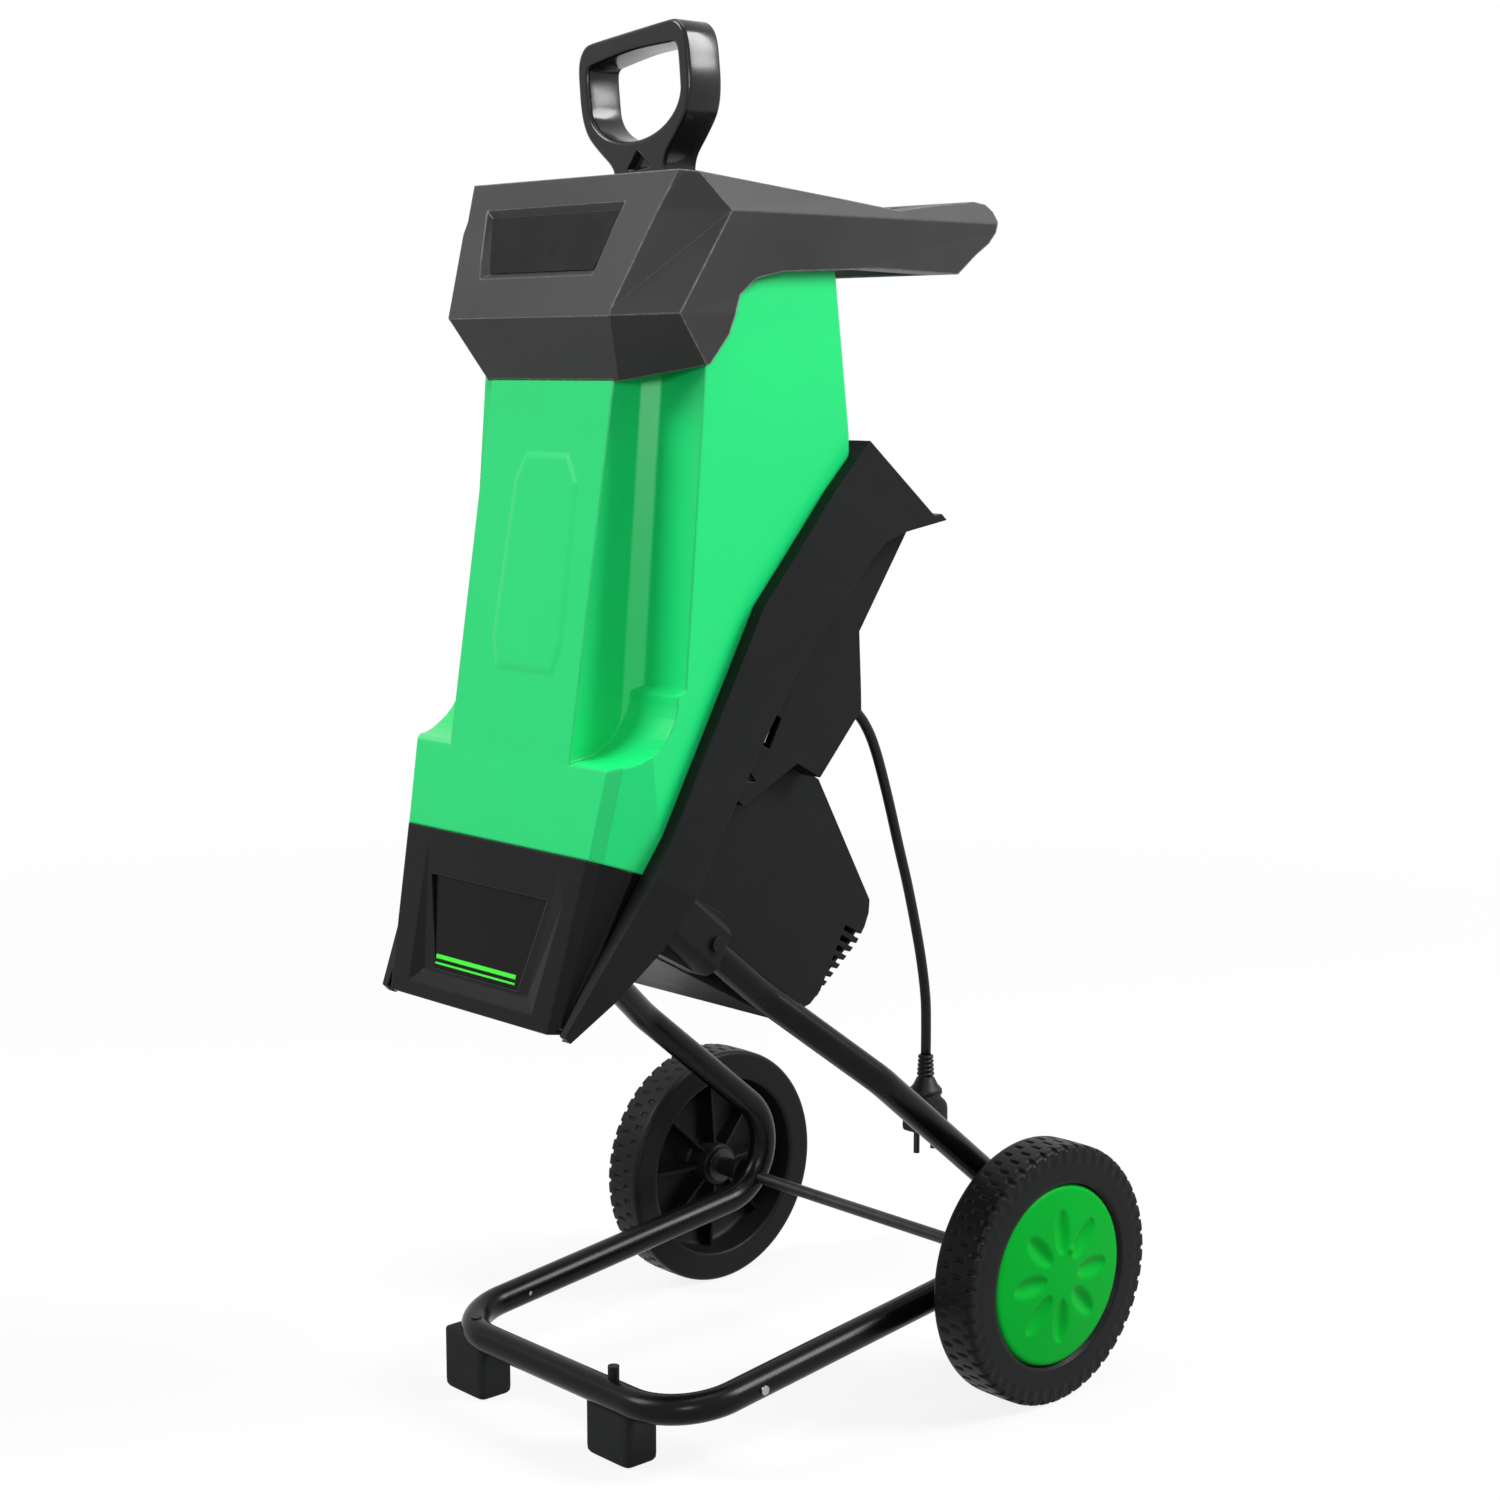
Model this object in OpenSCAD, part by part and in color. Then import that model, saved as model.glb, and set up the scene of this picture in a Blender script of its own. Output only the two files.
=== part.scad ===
// Electric garden shredder on a wheeled tube stand.
// Millimetres, +Z up, the front faces -Y. The stand's mid-plane is X = 0.

/* [Stand] */
// Outer diameter of the stand's steel tube
tube_d = 22; // [18:1:26]
// Wall of the steel tube
tube_wall = 1.5; // [1:0.1:3]
// Distance of each rail's centre line from the mid-plane
rail_x = 134.4; // [128:0.2:142]
// Distance of each leg's upper end from the mid-plane
leg_x = 103; // [101:0.5:106]
// Slope of the rails, rising to the rear, in degrees
rail_slope = 6.8; // [5:0.1:9]
// Slope of the legs, in degrees
leg_slope = 39.4; // [37:0.2:42]
// Centre-line radius of the rear bends
rear_bend_r = 46; // [42:1:52]
// Centre-line radius of the front bar's corners
front_bend_r = 50; // [40:1:60]
// Centre-line radius of the legs' kinks
kink_r = 60; // [45:1:80]
// Distance along the ground from the axle to the front bar
front_bar_run = 317; // [290:1:340]
// Distance along the ground from the axle to the joints of rails and front bar
joint_run = 262; // [245:1:270]
// Length of the front bar's reduced end inside a rail
spigot_len = 34; // [25:1:45]
// Diametral clearance of the reduced ends
spigot_gap = 0.3; // [0.2:0.05:0.6]
// Depth of a foot from front to rear
foot_depth = 30; // [24:1:40]
// Width of a foot
foot_w = 48; // [40:1:56]
// Distance of the right foot's centre from the mid-plane
right_foot_x = 60; // [45:1:75]
// Distance of the left foot's centre from the mid-plane
left_foot_x = 112; // [106:1:116]
// Diameter of the pegs that hold the feet
peg_d = 8.4; // [6:0.2:10]
// Height of the right peg above the bar
peg_h = 9; // [5:0.5:12]

/* [Wheels] */
// Diameter over the tread
wheel_d = 200; // [180:1:220]
// Width of a wheel
wheel_w = 38.2; // [32:0.2:44]
// Distance from the mid-plane to a wheel's inner face
wheel_x = 169.6; // [166:0.2:176]
// Diameter of the axle
axle_d = 10; // [8:0.5:12]
// Number of tread lugs round a wheel
lug_count = 60; // [40:4:72]
// Depth of the grooves between the lugs
lug_depth = 3; // [2:0.5:5]
// Diameter of the hub cap
cap_d = 139; // [120:1:150]
// Diameter of the hub boss
hub_d = 36; // [30:1:44]

/* [Housing] */
// Height of the split line's lower end
split_z = 333; // [325:1:340]
// Distance from the axle forward to the split line's lower end
split_run = 392; // [385:1:400]
// Angle of the split line from the vertical, in degrees
split_tilt = 29; // [28:0.2:30]
// Half of the width of the housing's rim
rim_half = 134; // [132:0.5:138]
// Half of the width of the rim at its lower end
rim_low_half = 106.5; // [104:0.5:110]
// Height along the split line where the rim reaches its full width
rim_taper_s = 121; // [110:1:130]
// Wall of the housing
shell_wall = 3; // [2.5:0.1:4]
// Half of the width of the upper housing
upper_half = 108; // [100:1:114]
// Half of the width of the motor box
box_half = 88; // [84:0.5:90]
// Half of the width of the discharge opening
chute_half = 80; // [60:1:88]
// Height of the cutter's axis along the split line
shaft_s = 165; // [158:1:170]

/* [Cutter] */
// Diameter of the cutter disc
disc_d = 188; // [170:1:194]
// Thickness of the cutter disc
disc_t = 6; // [5:0.5:8]
// Diameter of the drive shaft
shaft_d = 12; // [10:0.5:14]
// Diameter of the motor
motor_d = 106; // [96:1:112]
// Diameter of the cooling fan
fan_d = 78; // [66:1:80]

/* [Hopper] */
// Half of the width of the hopper between its side walls
hopper_half = 122; // [118:0.5:122]
// Half of the width of the hopper's front panel
panel_half = 68; // [60:1:72]
// Width of the slanted strip beside the front panel
strip_w = 10.3; // [8:0.1:14]
// Wall of the hopper
hopper_wall = 3; // [2.5:0.1:4]
// Radius of the hollow above the base's shoulders
cove_r = 45; // [40:1:50]
// Height of the hopper's top edge
hopper_top_z = 872; // [868:1:874]
// Half of the width of the feed mouth in the hopper's floor
mouth_half = 65; // [50:1:75]

/* [Collar] */
// Height of the collar's front top edge
collar_top_z = 907.6; // [904:0.2:912]
// Half of the width of the collar across its handles
collar_half = 134; // [131:0.5:138]
// Wall of the collar
collar_wall = 3; // [2.5:0.1:4]
// Half of the width of the feed slot
slot_half = 100; // [70:1:104]
// Width of the rear handle's arms
arm_w = 29; // [22:1:34]

/* [Push stick] */
// Outer width of the handle
grip_w = 120; // [105:1:130]
// Height of the handle's grip bar
grip_bar = 16; // [13:0.5:20]
// Thickness of the handle from front to rear
grip_t = 31; // [24:1:36]
// Lean of the handle to the side, in degrees
grip_lean = 6; // [0:0.5:8]
// Half of the width of the stick
stick_half = 48; // [35:1:60]
// Thickness of the stick from front to rear
stick_t = 44; // [30:1:56]

/* [Cord] */
// Diameter of the power cord
cord_d = 8; // [6:0.5:9]

/* [Hidden] */
$fn = 48;

// Clearances.
// Radial clearance of a turning fit
run_gap = 0.06;
// Radial clearance of a pressed or screwed fit
seat_gap = 0.05;
// Gap between faces that rest on each other
rest_gap = 0.1;
// Gap between bodies that move past each other
move_gap = 0.5;

// Stand, worked out from the driving sizes.
tube_r = tube_d / 2;
axle_z = wheel_d / 2;
axle_r = axle_d / 2;
rail_dir = [0, cos(rail_slope), sin(rail_slope)];
leg_dir = [0, -cos(leg_slope), sin(leg_slope)];
bend_half = acos(rail_dir * leg_dir) / 2;
bend_out = -(leg_dir - rail_dir) / norm(leg_dir - rail_dir);
// The bend's rearmost stretch passes over the axle.
axle_on_bend = 40.5;
bend_mid = [0, -rear_bend_r * cos(axle_on_bend), axle_z + rear_bend_r * sin(axle_on_bend)];
bend_corner = bend_mid + bend_out * rear_bend_r / cos(bend_half);
function rail_point(run, x) =
    [x, -run, bend_corner.z + (-run - bend_corner.y) * tan(rail_slope)];
function leg_point(run, x) =
    [x, -run, bend_corner.z + (run + bend_corner.y) * tan(leg_slope)];
// Where the legs leave the rails' planes, where they run level again, and where they end.
kink_low_run = 120;
kink_high_run = 210;
leg_end_run = 285;
foot_back_run = front_bar_run - 25;
bar_z = rail_point(front_bar_run, 0).z;
joint_screw_run = joint_run - 16;

// The whole part stands with the middle of its length at Y = 0.
shroud_low_y = -395.4;
mid_y = (shroud_low_y + axle_z) / 2;

// Housing outlines in the split frame: first how far behind, then how far up the split line.
rim_line = [[0, 322], [9.7, 365], [16.6, 397], [21.9, 422], [29.9, 450], [35, 469]];
tray_back = [[7, -2], [23, 34], [30, 56], [37, 80], [40, 120], [40, 161], [46, 250], [50, 292],
    [56, 317], [65, 346], [72, 375], [77, 395], [85, 414], [100, 430], [133, 456], [126, 457.5],
    [120, 453]];
function reversed(list) = [for (i = [len(list) - 1 : -1 : 0]) list[i]];
tray_outline = concat([[0, 0]], tray_back, reversed(rim_line));
upper_outline = [[42, 205], [73, 200], [106, 247], [132, 247], [146, 307], [139, 319],
    [116, 356], [124, 440], [100, 440], [62, 380], [50, 320]];
box_bottom_s = 79;
box_end_w = 249;
cover_depth = 32;
cover_w = box_end_w - cover_depth;
box_outline = [[30, box_bottom_s], [box_end_w - 51, box_bottom_s], [box_end_w - 25, 101],
    [box_end_w - 2, 158], [box_end_w, 172], [box_end_w - 1, 183], [box_end_w - 5, 192],
    [box_end_w - 99, 251], [30, 251]];
ledge_w = 4;
flange_t = 7;
opening_outline = [[100.5, -8], [100.5, 0.5], [rim_half - 15.7, rim_taper_s],
    [hopper_half + 2 * move_gap, rim_taper_s + 29], [hopper_half + 2 * move_gap, 457]];
hinge_w = 2;
hinge_s = 3.5;
knuckle_r = 3.6;
hinge_rod_r = 1.8;
knuckle_in = 40;
knuckle_out = 70;

// Cutter stack behind the split line.
disc_w = 14;
plate_w = 29;
plate_t = 5;
motor_w = 42;
motor_len = 138;
fan_w = 200;
fan_t = 13;
shaft_end_w = fan_w + fan_t + 1;

// Hopper and shroud lines: front faces as [y, z] with the lean of each face.
panel_low = [-355.5, 510];
panel_lean = atan(0.1607);
// Half width of the base's front, its slanted corner and how far the corner leans outward.
corner_half = 103.3;
corner_cut = 7;
corner_roll = 5;
facet_low = [-297, 561];
facet_lean = atan(0.085);
base_low = [-368, 450];
base_lean = atan(12.5 / 60);
rear_low_y = -143.6;
rear_knee_z = 731;
rear_lean = 7.2;
shroud_top = [-369, 449.6];
shroud_lean = atan(26.4 / 116.8);
seam_z = base_low.y;
seam_slope = 0.34;
function seam_at(y) = seam_z - (y - base_low.x) * seam_slope;

// Collar.
pocket_z = 888;
pocket_front_y = -272;
pocket_back_y = -178;
slot_front_y = -260;
slot_back_y = -190;
hand_front_y = -136;
hand_back_y = -48;
grip_mid_y = -224.5;

// Route of the cord's centre line, in the part's own frame.
cord_route = [[60, 58, 531], [60, 64, 528], [60, 73, 522], [60, 82, 513], [60, 90, 501],
    [60, 97, 486], [60, 104, 467], [60, 112, 443], [60, 121, 414], [60, 131, 383],
    [60, 140, 351], [60, 148, 318], [60, 153, 288], [60, 154, 264], [60, 154, 242]];
cord_sides = 10;
plug_pin_pitch = 19;
plug_pin_d = 4.8;
plug_pin_len = 19;
pin_neck_r = 2;
plug_h = 59;

// ---------------------------------------------------------------- helpers

function unit(v) = v / norm(v);

// Moves each corner of an anticlockwise outline inward by d.
function inset(outline, d) = [for (i = [0 : len(outline) - 1])
    let (before = outline[(i + len(outline) - 1) % len(outline)],
        here = outline[i],
        after = outline[(i + 1) % len(outline)],
        u = unit(here - before),
        v = unit(after - here),
        n = [-u.y, u.x],
        m = [-v.y, v.x])
    here + d * (n + m) / (1 + n * m)];

// Shifts the stand's frame, whose zero is the axle, to the part's frame.
module placed() translate([0, -mid_y, 0]) children();

// Split frame: Y points behind the split line and Z up along it.
module split_frame() placed() translate([0, -split_run, split_z]) rotate([-split_tilt, 0, 0])
    children();

// Extrudes an outline given in Y and Z across X.
module across(half) rotate([90, 0, 90]) linear_extrude(2 * half, center = true) children();

module at_both_sides() {
    children();
    mirror([1, 0, 0]) children();
}

// Round bar between two points, or a tube where it has a bore.
module rod(a, b, r, bore = 0) {
    d = b - a;
    translate(a) rotate([0, acos(d.z / norm(d)), atan2(d.y, d.x)]) difference() {
        cylinder(h = norm(d), r = r);
        if (bore > 0) translate([0, 0, -1]) cylinder(h = norm(d) + 2, r = bore);
    }
}

// Bar or tube that follows points, with a bend of radius bends[i] at each inner point i + 1.
// A bend is wider than its straight ends by a hair, and they reach a little way into it.
bend_swell = 0.05;
bend_lap = 1;
module bent_bar(points, bends, r, bore = 0) {
    last = len(points) - 1;
    cut = [for (i = [0 : last]) (i == 0 || i == last) ? 0 : bends[i - 1]
        * tan(acos(unit(points[i] - points[i - 1]) * unit(points[i + 1] - points[i])) / 2)];
    for (i = [0 : last - 1]) {
        d = unit(points[i + 1] - points[i]);
        rod(points[i] + (i == 0 ? 0 : cut[i] - bend_lap) * d,
            points[i + 1] - (i == last - 1 ? 0 : cut[i + 1] - bend_lap) * d, r, bore);
    }
    for (i = [1 : last - 1]) {
        d = unit(points[i] - points[i - 1]);
        e = unit(points[i + 1] - points[i]);
        n = unit(cross(d, e));
        s = cross(d, n);
        c = points[i] - cut[i] * d - bends[i - 1] * s;
        multmatrix([[s.x, d.x, n.x, c.x], [s.y, d.y, n.y, c.y], [s.z, d.z, n.z, c.z], [0, 0, 0, 1]])
            rotate_extrude(angle = acos(d * e)) translate([bends[i - 1], 0]) difference() {
                circle(r + bend_swell);
                if (bore > 0) circle(bore + bend_swell);
            }
    }
}

// Closed surface through rings that have the same number of points, from the lowest up.
module loft(rings) {
    n = len(rings[0]);
    m = len(rings);
    points = [for (ring = rings) for (p = ring) p];
    bottom = [for (j = [1 : n - 2]) [0, j, j + 1]];
    top = [for (j = [1 : n - 2]) [(m - 1) * n, (m - 1) * n + j + 1, (m - 1) * n + j]];
    sides = [for (i = [0 : m - 2]) for (j = [0 : n - 1]) let (k = (j + 1) % n)
        each [[i * n + j, (i + 1) * n + j, (i + 1) * n + k], [i * n + j, (i + 1) * n + k, i * n + k]]];
    polyhedron(points, concat(bottom, top, sides));
}

// Ring that is the same on both sides of X = 0, from the points of its right half.
function both_halves(half) =
    concat([for (i = [len(half) - 1 : -1 : 0]) [-half[i].x, half[i].y, half[i].z]], half);

// ---------------------------------------------------------------- stand

side_tube_points = [rail_point(joint_run, rail_x), [rail_x, bend_corner.y, bend_corner.z],
    leg_point(kink_low_run, rail_x), leg_point(kink_high_run, leg_x), leg_point(leg_end_run, leg_x)];

module joint_screw_hole(r) placed() translate(rail_point(joint_screw_run, rail_x))
    rotate([0, 90, 0]) cylinder(h = 2 * tube_d, r = r, center = true);

// Places a leg screw's axis, which crosses the leg inside its socket.
module at_leg_screw() placed() translate(leg_point(leg_end_run - 17, leg_x))
    rotate([0, 90, 0]) children();

module side_tube() {
    difference() {
        placed() bent_bar(side_tube_points, [rear_bend_r, kink_r, kink_r], tube_r,
            tube_r - tube_wall);
        placed() translate([0, 0, axle_z]) rotate([0, 90, 0])
            cylinder(h = 2 * wheel_x, r = axle_r + seat_gap);
        joint_screw_hole(2 + seat_gap);
        at_leg_screw() cylinder(h = 2 * tube_d, r = 3 + seat_gap, center = true);
    }
}

module left_side_tube() color([0.1, 0.1, 0.11]) mirror([1, 0, 0]) side_tube();
module right_side_tube() color([0.1, 0.1, 0.11]) side_tube();

function front_bar_points(run) = [rail_point(run, rail_x), rail_point(front_bar_run, rail_x),
    rail_point(front_bar_run, -rail_x), rail_point(run, -rail_x)];

module front_bar_form(r) bent_bar(front_bar_points(joint_run), [front_bend_r, front_bend_r], r);

module at_peg(x) placed() translate([x, -(front_bar_run - 3), 0]) children();

module front_bar() color([0.1, 0.1, 0.11]) difference() {
    union() {
        placed() front_bar_form(tube_r);
        placed() at_both_sides() rod(rail_point(joint_run + 3, rail_x),
            rail_point(joint_run - spigot_len, rail_x), tube_r - tube_wall - spigot_gap / 2);
    }
    at_both_sides() joint_screw_hole(2 + seat_gap);
    at_peg(right_foot_x) cylinder(h = 2 * bar_z, r = peg_d / 2 + seat_gap);
    at_peg(-left_foot_x + 8) cylinder(h = 2 * bar_z, r = peg_d / 2 + seat_gap);
}

module foot(x) difference() {
    placed() translate([x - foot_w / 2, -foot_back_run - foot_depth, 0])
        cube([foot_w, foot_depth, bar_z - 2]);
    placed() front_bar_form(tube_r + rest_gap);
}

module left_foot() color([0.07, 0.07, 0.07]) difference() {
    foot(-left_foot_x);
    at_peg(-left_foot_x + 8) translate([0, 0, 12]) cylinder(h = bar_z, r = peg_d / 2 + seat_gap);
}

module right_foot() color([0.07, 0.07, 0.07]) difference() {
    foot(right_foot_x);
    at_peg(right_foot_x) translate([0, 0, 12]) cylinder(h = bar_z, r = peg_d / 2 + seat_gap);
}

peg_low_z = 12.3;

module foot_pegs() color([0.12, 0.12, 0.12]) {
    at_peg(right_foot_x) translate([0, 0, peg_low_z])
        cylinder(h = bar_z + tube_r + peg_h - peg_low_z, r = peg_d / 2);
    at_peg(-left_foot_x + 8) translate([0, 0, peg_low_z])
        cylinder(h = bar_z + tube_r + 1 - peg_low_z, r = peg_d / 2);
}

module joint_screws() color([0.7, 0.7, 0.72]) placed() at_both_sides()
    translate(rail_point(joint_screw_run, rail_x)) rotate([0, 90, 0]) {
        translate([0, 0, -tube_r + 1]) cylinder(h = 2 * tube_r, r = 2);
        translate([0, 0, tube_r + rest_gap]) cylinder(h = 1.8, r = 3.4);
    }

module leg_screws() color([0.15, 0.15, 0.16]) at_both_sides() at_leg_screw() {
    translate([0, 0, 11 - tube_d]) cylinder(h = tube_d + 6.1, r = 3);
    translate([0, 0, boss_out - leg_x + rest_gap]) cylinder(h = 3, r = 5.5);
}

// ---------------------------------------------------------------- wheels and axle

sleeve_r = axle_r + 3;
web_t = 4;
web_x = wheel_w - 10;
hub_in = 6;
axle_half = wheel_x + web_x + web_t + 4;

module axle() color([0.25, 0.25, 0.26]) placed() translate([0, 0, axle_z]) rotate([0, 90, 0])
    cylinder(h = 2 * axle_half, r = axle_r, center = true);

module axle_sleeves() color([0.72, 0.72, 0.74]) placed() at_both_sides()
    translate([0, 0, axle_z]) rotate([0, 90, 0]) difference() {
        union() {
            translate([0, 0, rail_x + tube_r + rest_gap])
                cylinder(h = wheel_x + hub_in - rail_x - tube_r - 2 * rest_gap - 1.5, r = sleeve_r);
            translate([0, 0, wheel_x + hub_in - move_gap - 1.6]) cylinder(h = 1.6, r = 14);
            translate([0, 0, rail_x + tube_r + rest_gap]) cylinder(h = 1.6, r = 12);
        }
        cylinder(h = 2 * wheel_x, r = axle_r + seat_gap);
    }

module axle_nuts() color([0.72, 0.72, 0.74]) placed() at_both_sides()
    translate([0, 0, axle_z]) rotate([0, 90, 0]) difference() {
        translate([0, 0, wheel_x + web_x + web_t + move_gap - 0.2]) cylinder(h = 3.4, r = 9);
        cylinder(h = 2 * wheel_x, r = axle_r + seat_gap);
    }

// Outline of a row of lugs: each lug's top follows the tread, each groove its bottom.
function lug_ring(offset) = [for (i = [0 : lug_count - 1]) let (p = 360 / lug_count)
    each [for (q = [[-0.48, 0], [-0.3, 1], [0, 1], [0.3, 1], [0.48, 0]])
        let (a = (i + offset + q[0]) * p)
            (wheel_d / 2 - lug_depth * (1 - q[1])) * [cos(a), sin(a)]]];

module wheel() {
    tread_r = wheel_d / 2 - lug_depth;
    rim_in_r = cap_d / 2 + 6;
    placed() translate([wheel_x, 0, axle_z]) rotate([90, 0, 90]) {
        difference() {
            union() {
                rotate_extrude($fn = 96) polygon([[rim_in_r, 1.5], [rim_in_r + 3, 0], [tread_r - 8, 0],
                    [tread_r - 2, 2], [tread_r, 5], [tread_r, wheel_w - 5], [tread_r - 2, wheel_w - 2],
                    [tread_r - 8, wheel_w], [cap_d / 2 + 1, wheel_w], [cap_d / 2 + 1, web_x + web_t],
                    [hub_d / 2 - 2, web_x + web_t], [hub_d / 2 - 2, web_x], [rim_in_r, web_x]]);
                translate([0, 0, hub_in]) cylinder(h = web_x + web_t - hub_in, r = hub_d / 2);
                for (row = [0, 1]) translate([0, 0, row == 0 ? 4 : wheel_w / 2 + 1.5])
                    linear_extrude(wheel_w / 2 - 5.5) difference() {
                        polygon(lug_ring(row / 2));
                        circle(tread_r - 5);
                    }
                for (a = [0 : 45 : 315]) rotate(a)
                    translate([hub_d / 2 - 2, -1.5, hub_in + 6])
                        cube([rim_in_r - hub_d / 2 + 4, 3, web_x - hub_in - 5]);
            }
            translate([0, 0, -1]) difference() {
                cylinder(h = web_x + 1, r = rim_in_r);
                cylinder(h = web_x + 1, r = hub_d / 2);
                for (a = [0 : 45 : 315]) rotate(a)
                    translate([hub_d / 2 - 2, -1.5, hub_in + 7]) cube([rim_in_r, 3, web_x]);
            }
            translate([0, 0, -1]) cylinder(h = wheel_w + 2, r = axle_r + run_gap);
        }
    }
}

module left_wheel() color([0.08, 0.08, 0.09]) mirror([1, 0, 0]) wheel();
module right_wheel() color([0.08, 0.08, 0.09]) wheel();

module hub_cap() placed() translate([wheel_x + web_x + web_t + rest_gap, 0, axle_z])
    rotate([90, 0, 90]) difference() {
        rise = wheel_w - web_x - web_t;
        rotate_extrude($fn = 96) polygon([[0, 0], [cap_d / 2, 0], [cap_d / 2, rise - 1],
            [cap_d / 2 - 2, rise + 0.5], [cap_d / 2 - 12, rise + 2], [cap_d / 3, rise + 3],
            [cap_d / 5, rise + 3.8], [0, rise + 4]]);
        translate([0, 0, -1]) cylinder(h = 6.2, r = 11);
        for (a = [0 : 45 : 315]) rotate(a) translate([cap_d / 4, 0, rise + 7.2])
            rotate([0, 90, 0]) cylinder(h = cap_d / 4.4, r = 6, center = true);
    }

module left_hub_cap() color([0.1, 0.62, 0.18]) mirror([1, 0, 0]) hub_cap();
module right_hub_cap() color([0.1, 0.62, 0.18]) hub_cap();

// ---------------------------------------------------------------- housing

boss_in = 86;
boss_out = 120;
boss_front_w = 36;
boss_back_w = 95;
boss_low_s = 80;
boss_high_s = 126;
boss_r = 21;

// Everything in front of the split line, moved back by d.
module ahead_of_split(d) across(400) polygon(concat([[-500, -90], [d, -90], [d, 0]],
    [for (p = rim_line) p + [d, 0]], [rim_line[5] + (rim_line[5] - rim_line[3]) * 5 + [d, 0],
    [-500, 704]]));

// Front outline of the rim, narrowed by d.
module rim_front(d) rotate([90, 0, 0]) linear_extrude(900, center = true) {
    low = rim_low_half - d - (rim_half - rim_low_half) / rim_taper_s * 4;
    polygon([[-low, -4], [low, -4], [rim_half - d, rim_taper_s], [rim_half - d, 480],
        [-rim_half + d, 480], [-rim_half + d, rim_taper_s]]);
}

// The hole in the rim that the hopper closes, narrowed by d.
module rim_opening(d) rotate([90, 0, 0]) linear_extrude(900, center = true) {
    right = [for (p = opening_outline) [p.x - d, min(p.y, 457 - d)]];
    polygon(concat(right, [for (p = reversed(right)) [-p.x, p.y]]));
}

module housing_form(d) {
    intersection() {
        across(rim_half - d) polygon(inset(tray_outline, d));
        rim_front(d);
    }
    across(upper_half - d) polygon(inset(upper_outline, d));
    across(box_half - d) polygon(inset(box_outline, d));
}

module leg_socket_axis(r, from, to) placed() rod(leg_point(from, leg_x), leg_point(to, leg_x), r);

// Bosses round the ends of the legs, in the split frame: blocks with a rounded outer side.
module leg_bosses() at_both_sides() intersection() {
    translate([boss_in, boss_front_w, boss_low_s])
        cube([boss_out - boss_in, boss_back_w - boss_front_w, boss_high_s - boss_low_s]);
    union() {
        in_split()
            rod(leg_point(leg_end_run + 60, leg_x), leg_point(leg_end_run - 90, leg_x), boss_r);
        translate([boss_in, boss_front_w, boss_low_s])
            cube([leg_x + 2 - boss_in, boss_back_w - boss_front_w, boss_high_s - boss_low_s]);
    }
}

knob_s = 489;
knob_w = 60;
buttons_s = 398;
clip_slot_w = 66;
clip_slot_s = 245;
clip_slot_len = 24;
upper_back_w = 120;

module motor_housing() color([0.12, 0.12, 0.13]) difference() {
    union() {
        split_frame() difference() {
            union() {
                housing_form(0);
                leg_bosses();
                translate([-15, knob_w - 20, 450]) cube([30, 18, 52]);
            }
            // Inside of the tray, the upper housing and the motor box.
            difference() {
                housing_form(shell_wall);
                ahead_of_split(flange_t);
                leg_bosses();
            }
            across(box_half - shell_wall)
                polygon([[34, 85], [70, 82 + shell_wall], [70, 245], [34, 245]]);
            across(upper_half - shell_wall) polygon([[38, 240], [70, 240], [80, 380], [60, 380]]);
            intersection() {
                ahead_of_split(ledge_w);
                rim_opening(0);
            }
            intersection() {
                ahead_of_split(flange_t + 1);
                rim_opening(4);
            }
            // Discharge opening, hinge clearance and the motor box's end.
            translate([-chute_half, 3, 12]) cube([2 * chute_half, 60, 60]);
            at_both_sides() translate([knuckle_in - 2, hinge_w, hinge_s]) rotate([0, 90, 0])
                cylinder(h = opening_outline[0].x - knuckle_in + 2, r = 7);
            translate([-200, cover_w, 0]) cube([400, 60, 300]);
            // Knob's bolt, bracket end of the lug, buttons and side slots.
            translate([0, knob_w, knob_s]) rotate([90, 0, 0])
                cylinder(h = 40, r = bolt_r + run_gap);
            for (x = [-24, 0, 24]) translate([x, upper_back_w + 10, buttons_s]) rotate([90, 0, 0])
                cylinder(h = 30, r = button_r + 0.4);
            at_both_sides() translate([upper_half - 5, clip_slot_w, clip_slot_s])
                cube([12, 10, clip_slot_len]);
            at_both_sides() translate([upper_half - 2, 0, 0]) rotate([90, 0, 90])
                linear_extrude(12) polygon([[61, 214], [75.5, 219.5], [63.5, 225]]);
        }
        // Posts for the motor plate and for the vent cover.
        split_frame() {
            plate_screw_places() translate([0, 0, -plate_t - 14]) cylinder(h = 14 - rest_gap, r = 7);
            intersection() {
                at_cover_screws() cylinder(h = 14, r = 6);
                across(box_half - 1) polygon(inset(box_outline, 1));
            }
        }
        // Knuckle that the hinge rod passes through.
        split_frame() {
            translate([0, hinge_w, hinge_s]) rotate([0, 90, 0])
                cylinder(h = 2 * (knuckle_in - 2), r = knuckle_r, center = true);
            translate([-(knuckle_in - 2), hinge_w, hinge_s - 2]) cube([2 * (knuckle_in - 2), 8, 4]);
        }
    }
    leg_socket_axis(tube_r + seat_gap, leg_end_run + 0.4, leg_end_run - 60);
    at_leg_screw() cylinder(h = 60, r = 3 + seat_gap, center = true);
    split_frame() {
        translate([0, hinge_w, hinge_s]) rotate([0, 90, 0])
            cylinder(h = 200, r = hinge_rod_r + seat_gap, center = true);
        at_cover_screws() translate([0, 0, -1]) cylinder(h = 16, r = 1.8 + seat_gap);
        plate_screw_places() translate([0, 0, -plate_t - 12]) cylinder(h = 14, r = 2.5 + seat_gap);
    }
    gland_place() translate([0, 0, -46]) cylinder(h = 26, r = gland_r + seat_gap);
    mirror([1, 0, 0]) {
        leg_socket_axis(tube_r + seat_gap, leg_end_run + 0.4, leg_end_run - 60);
        at_leg_screw() cylinder(h = 60, r = 3 + seat_gap, center = true);
    }
}

bolt_r = 4;
button_r = 8;

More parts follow.
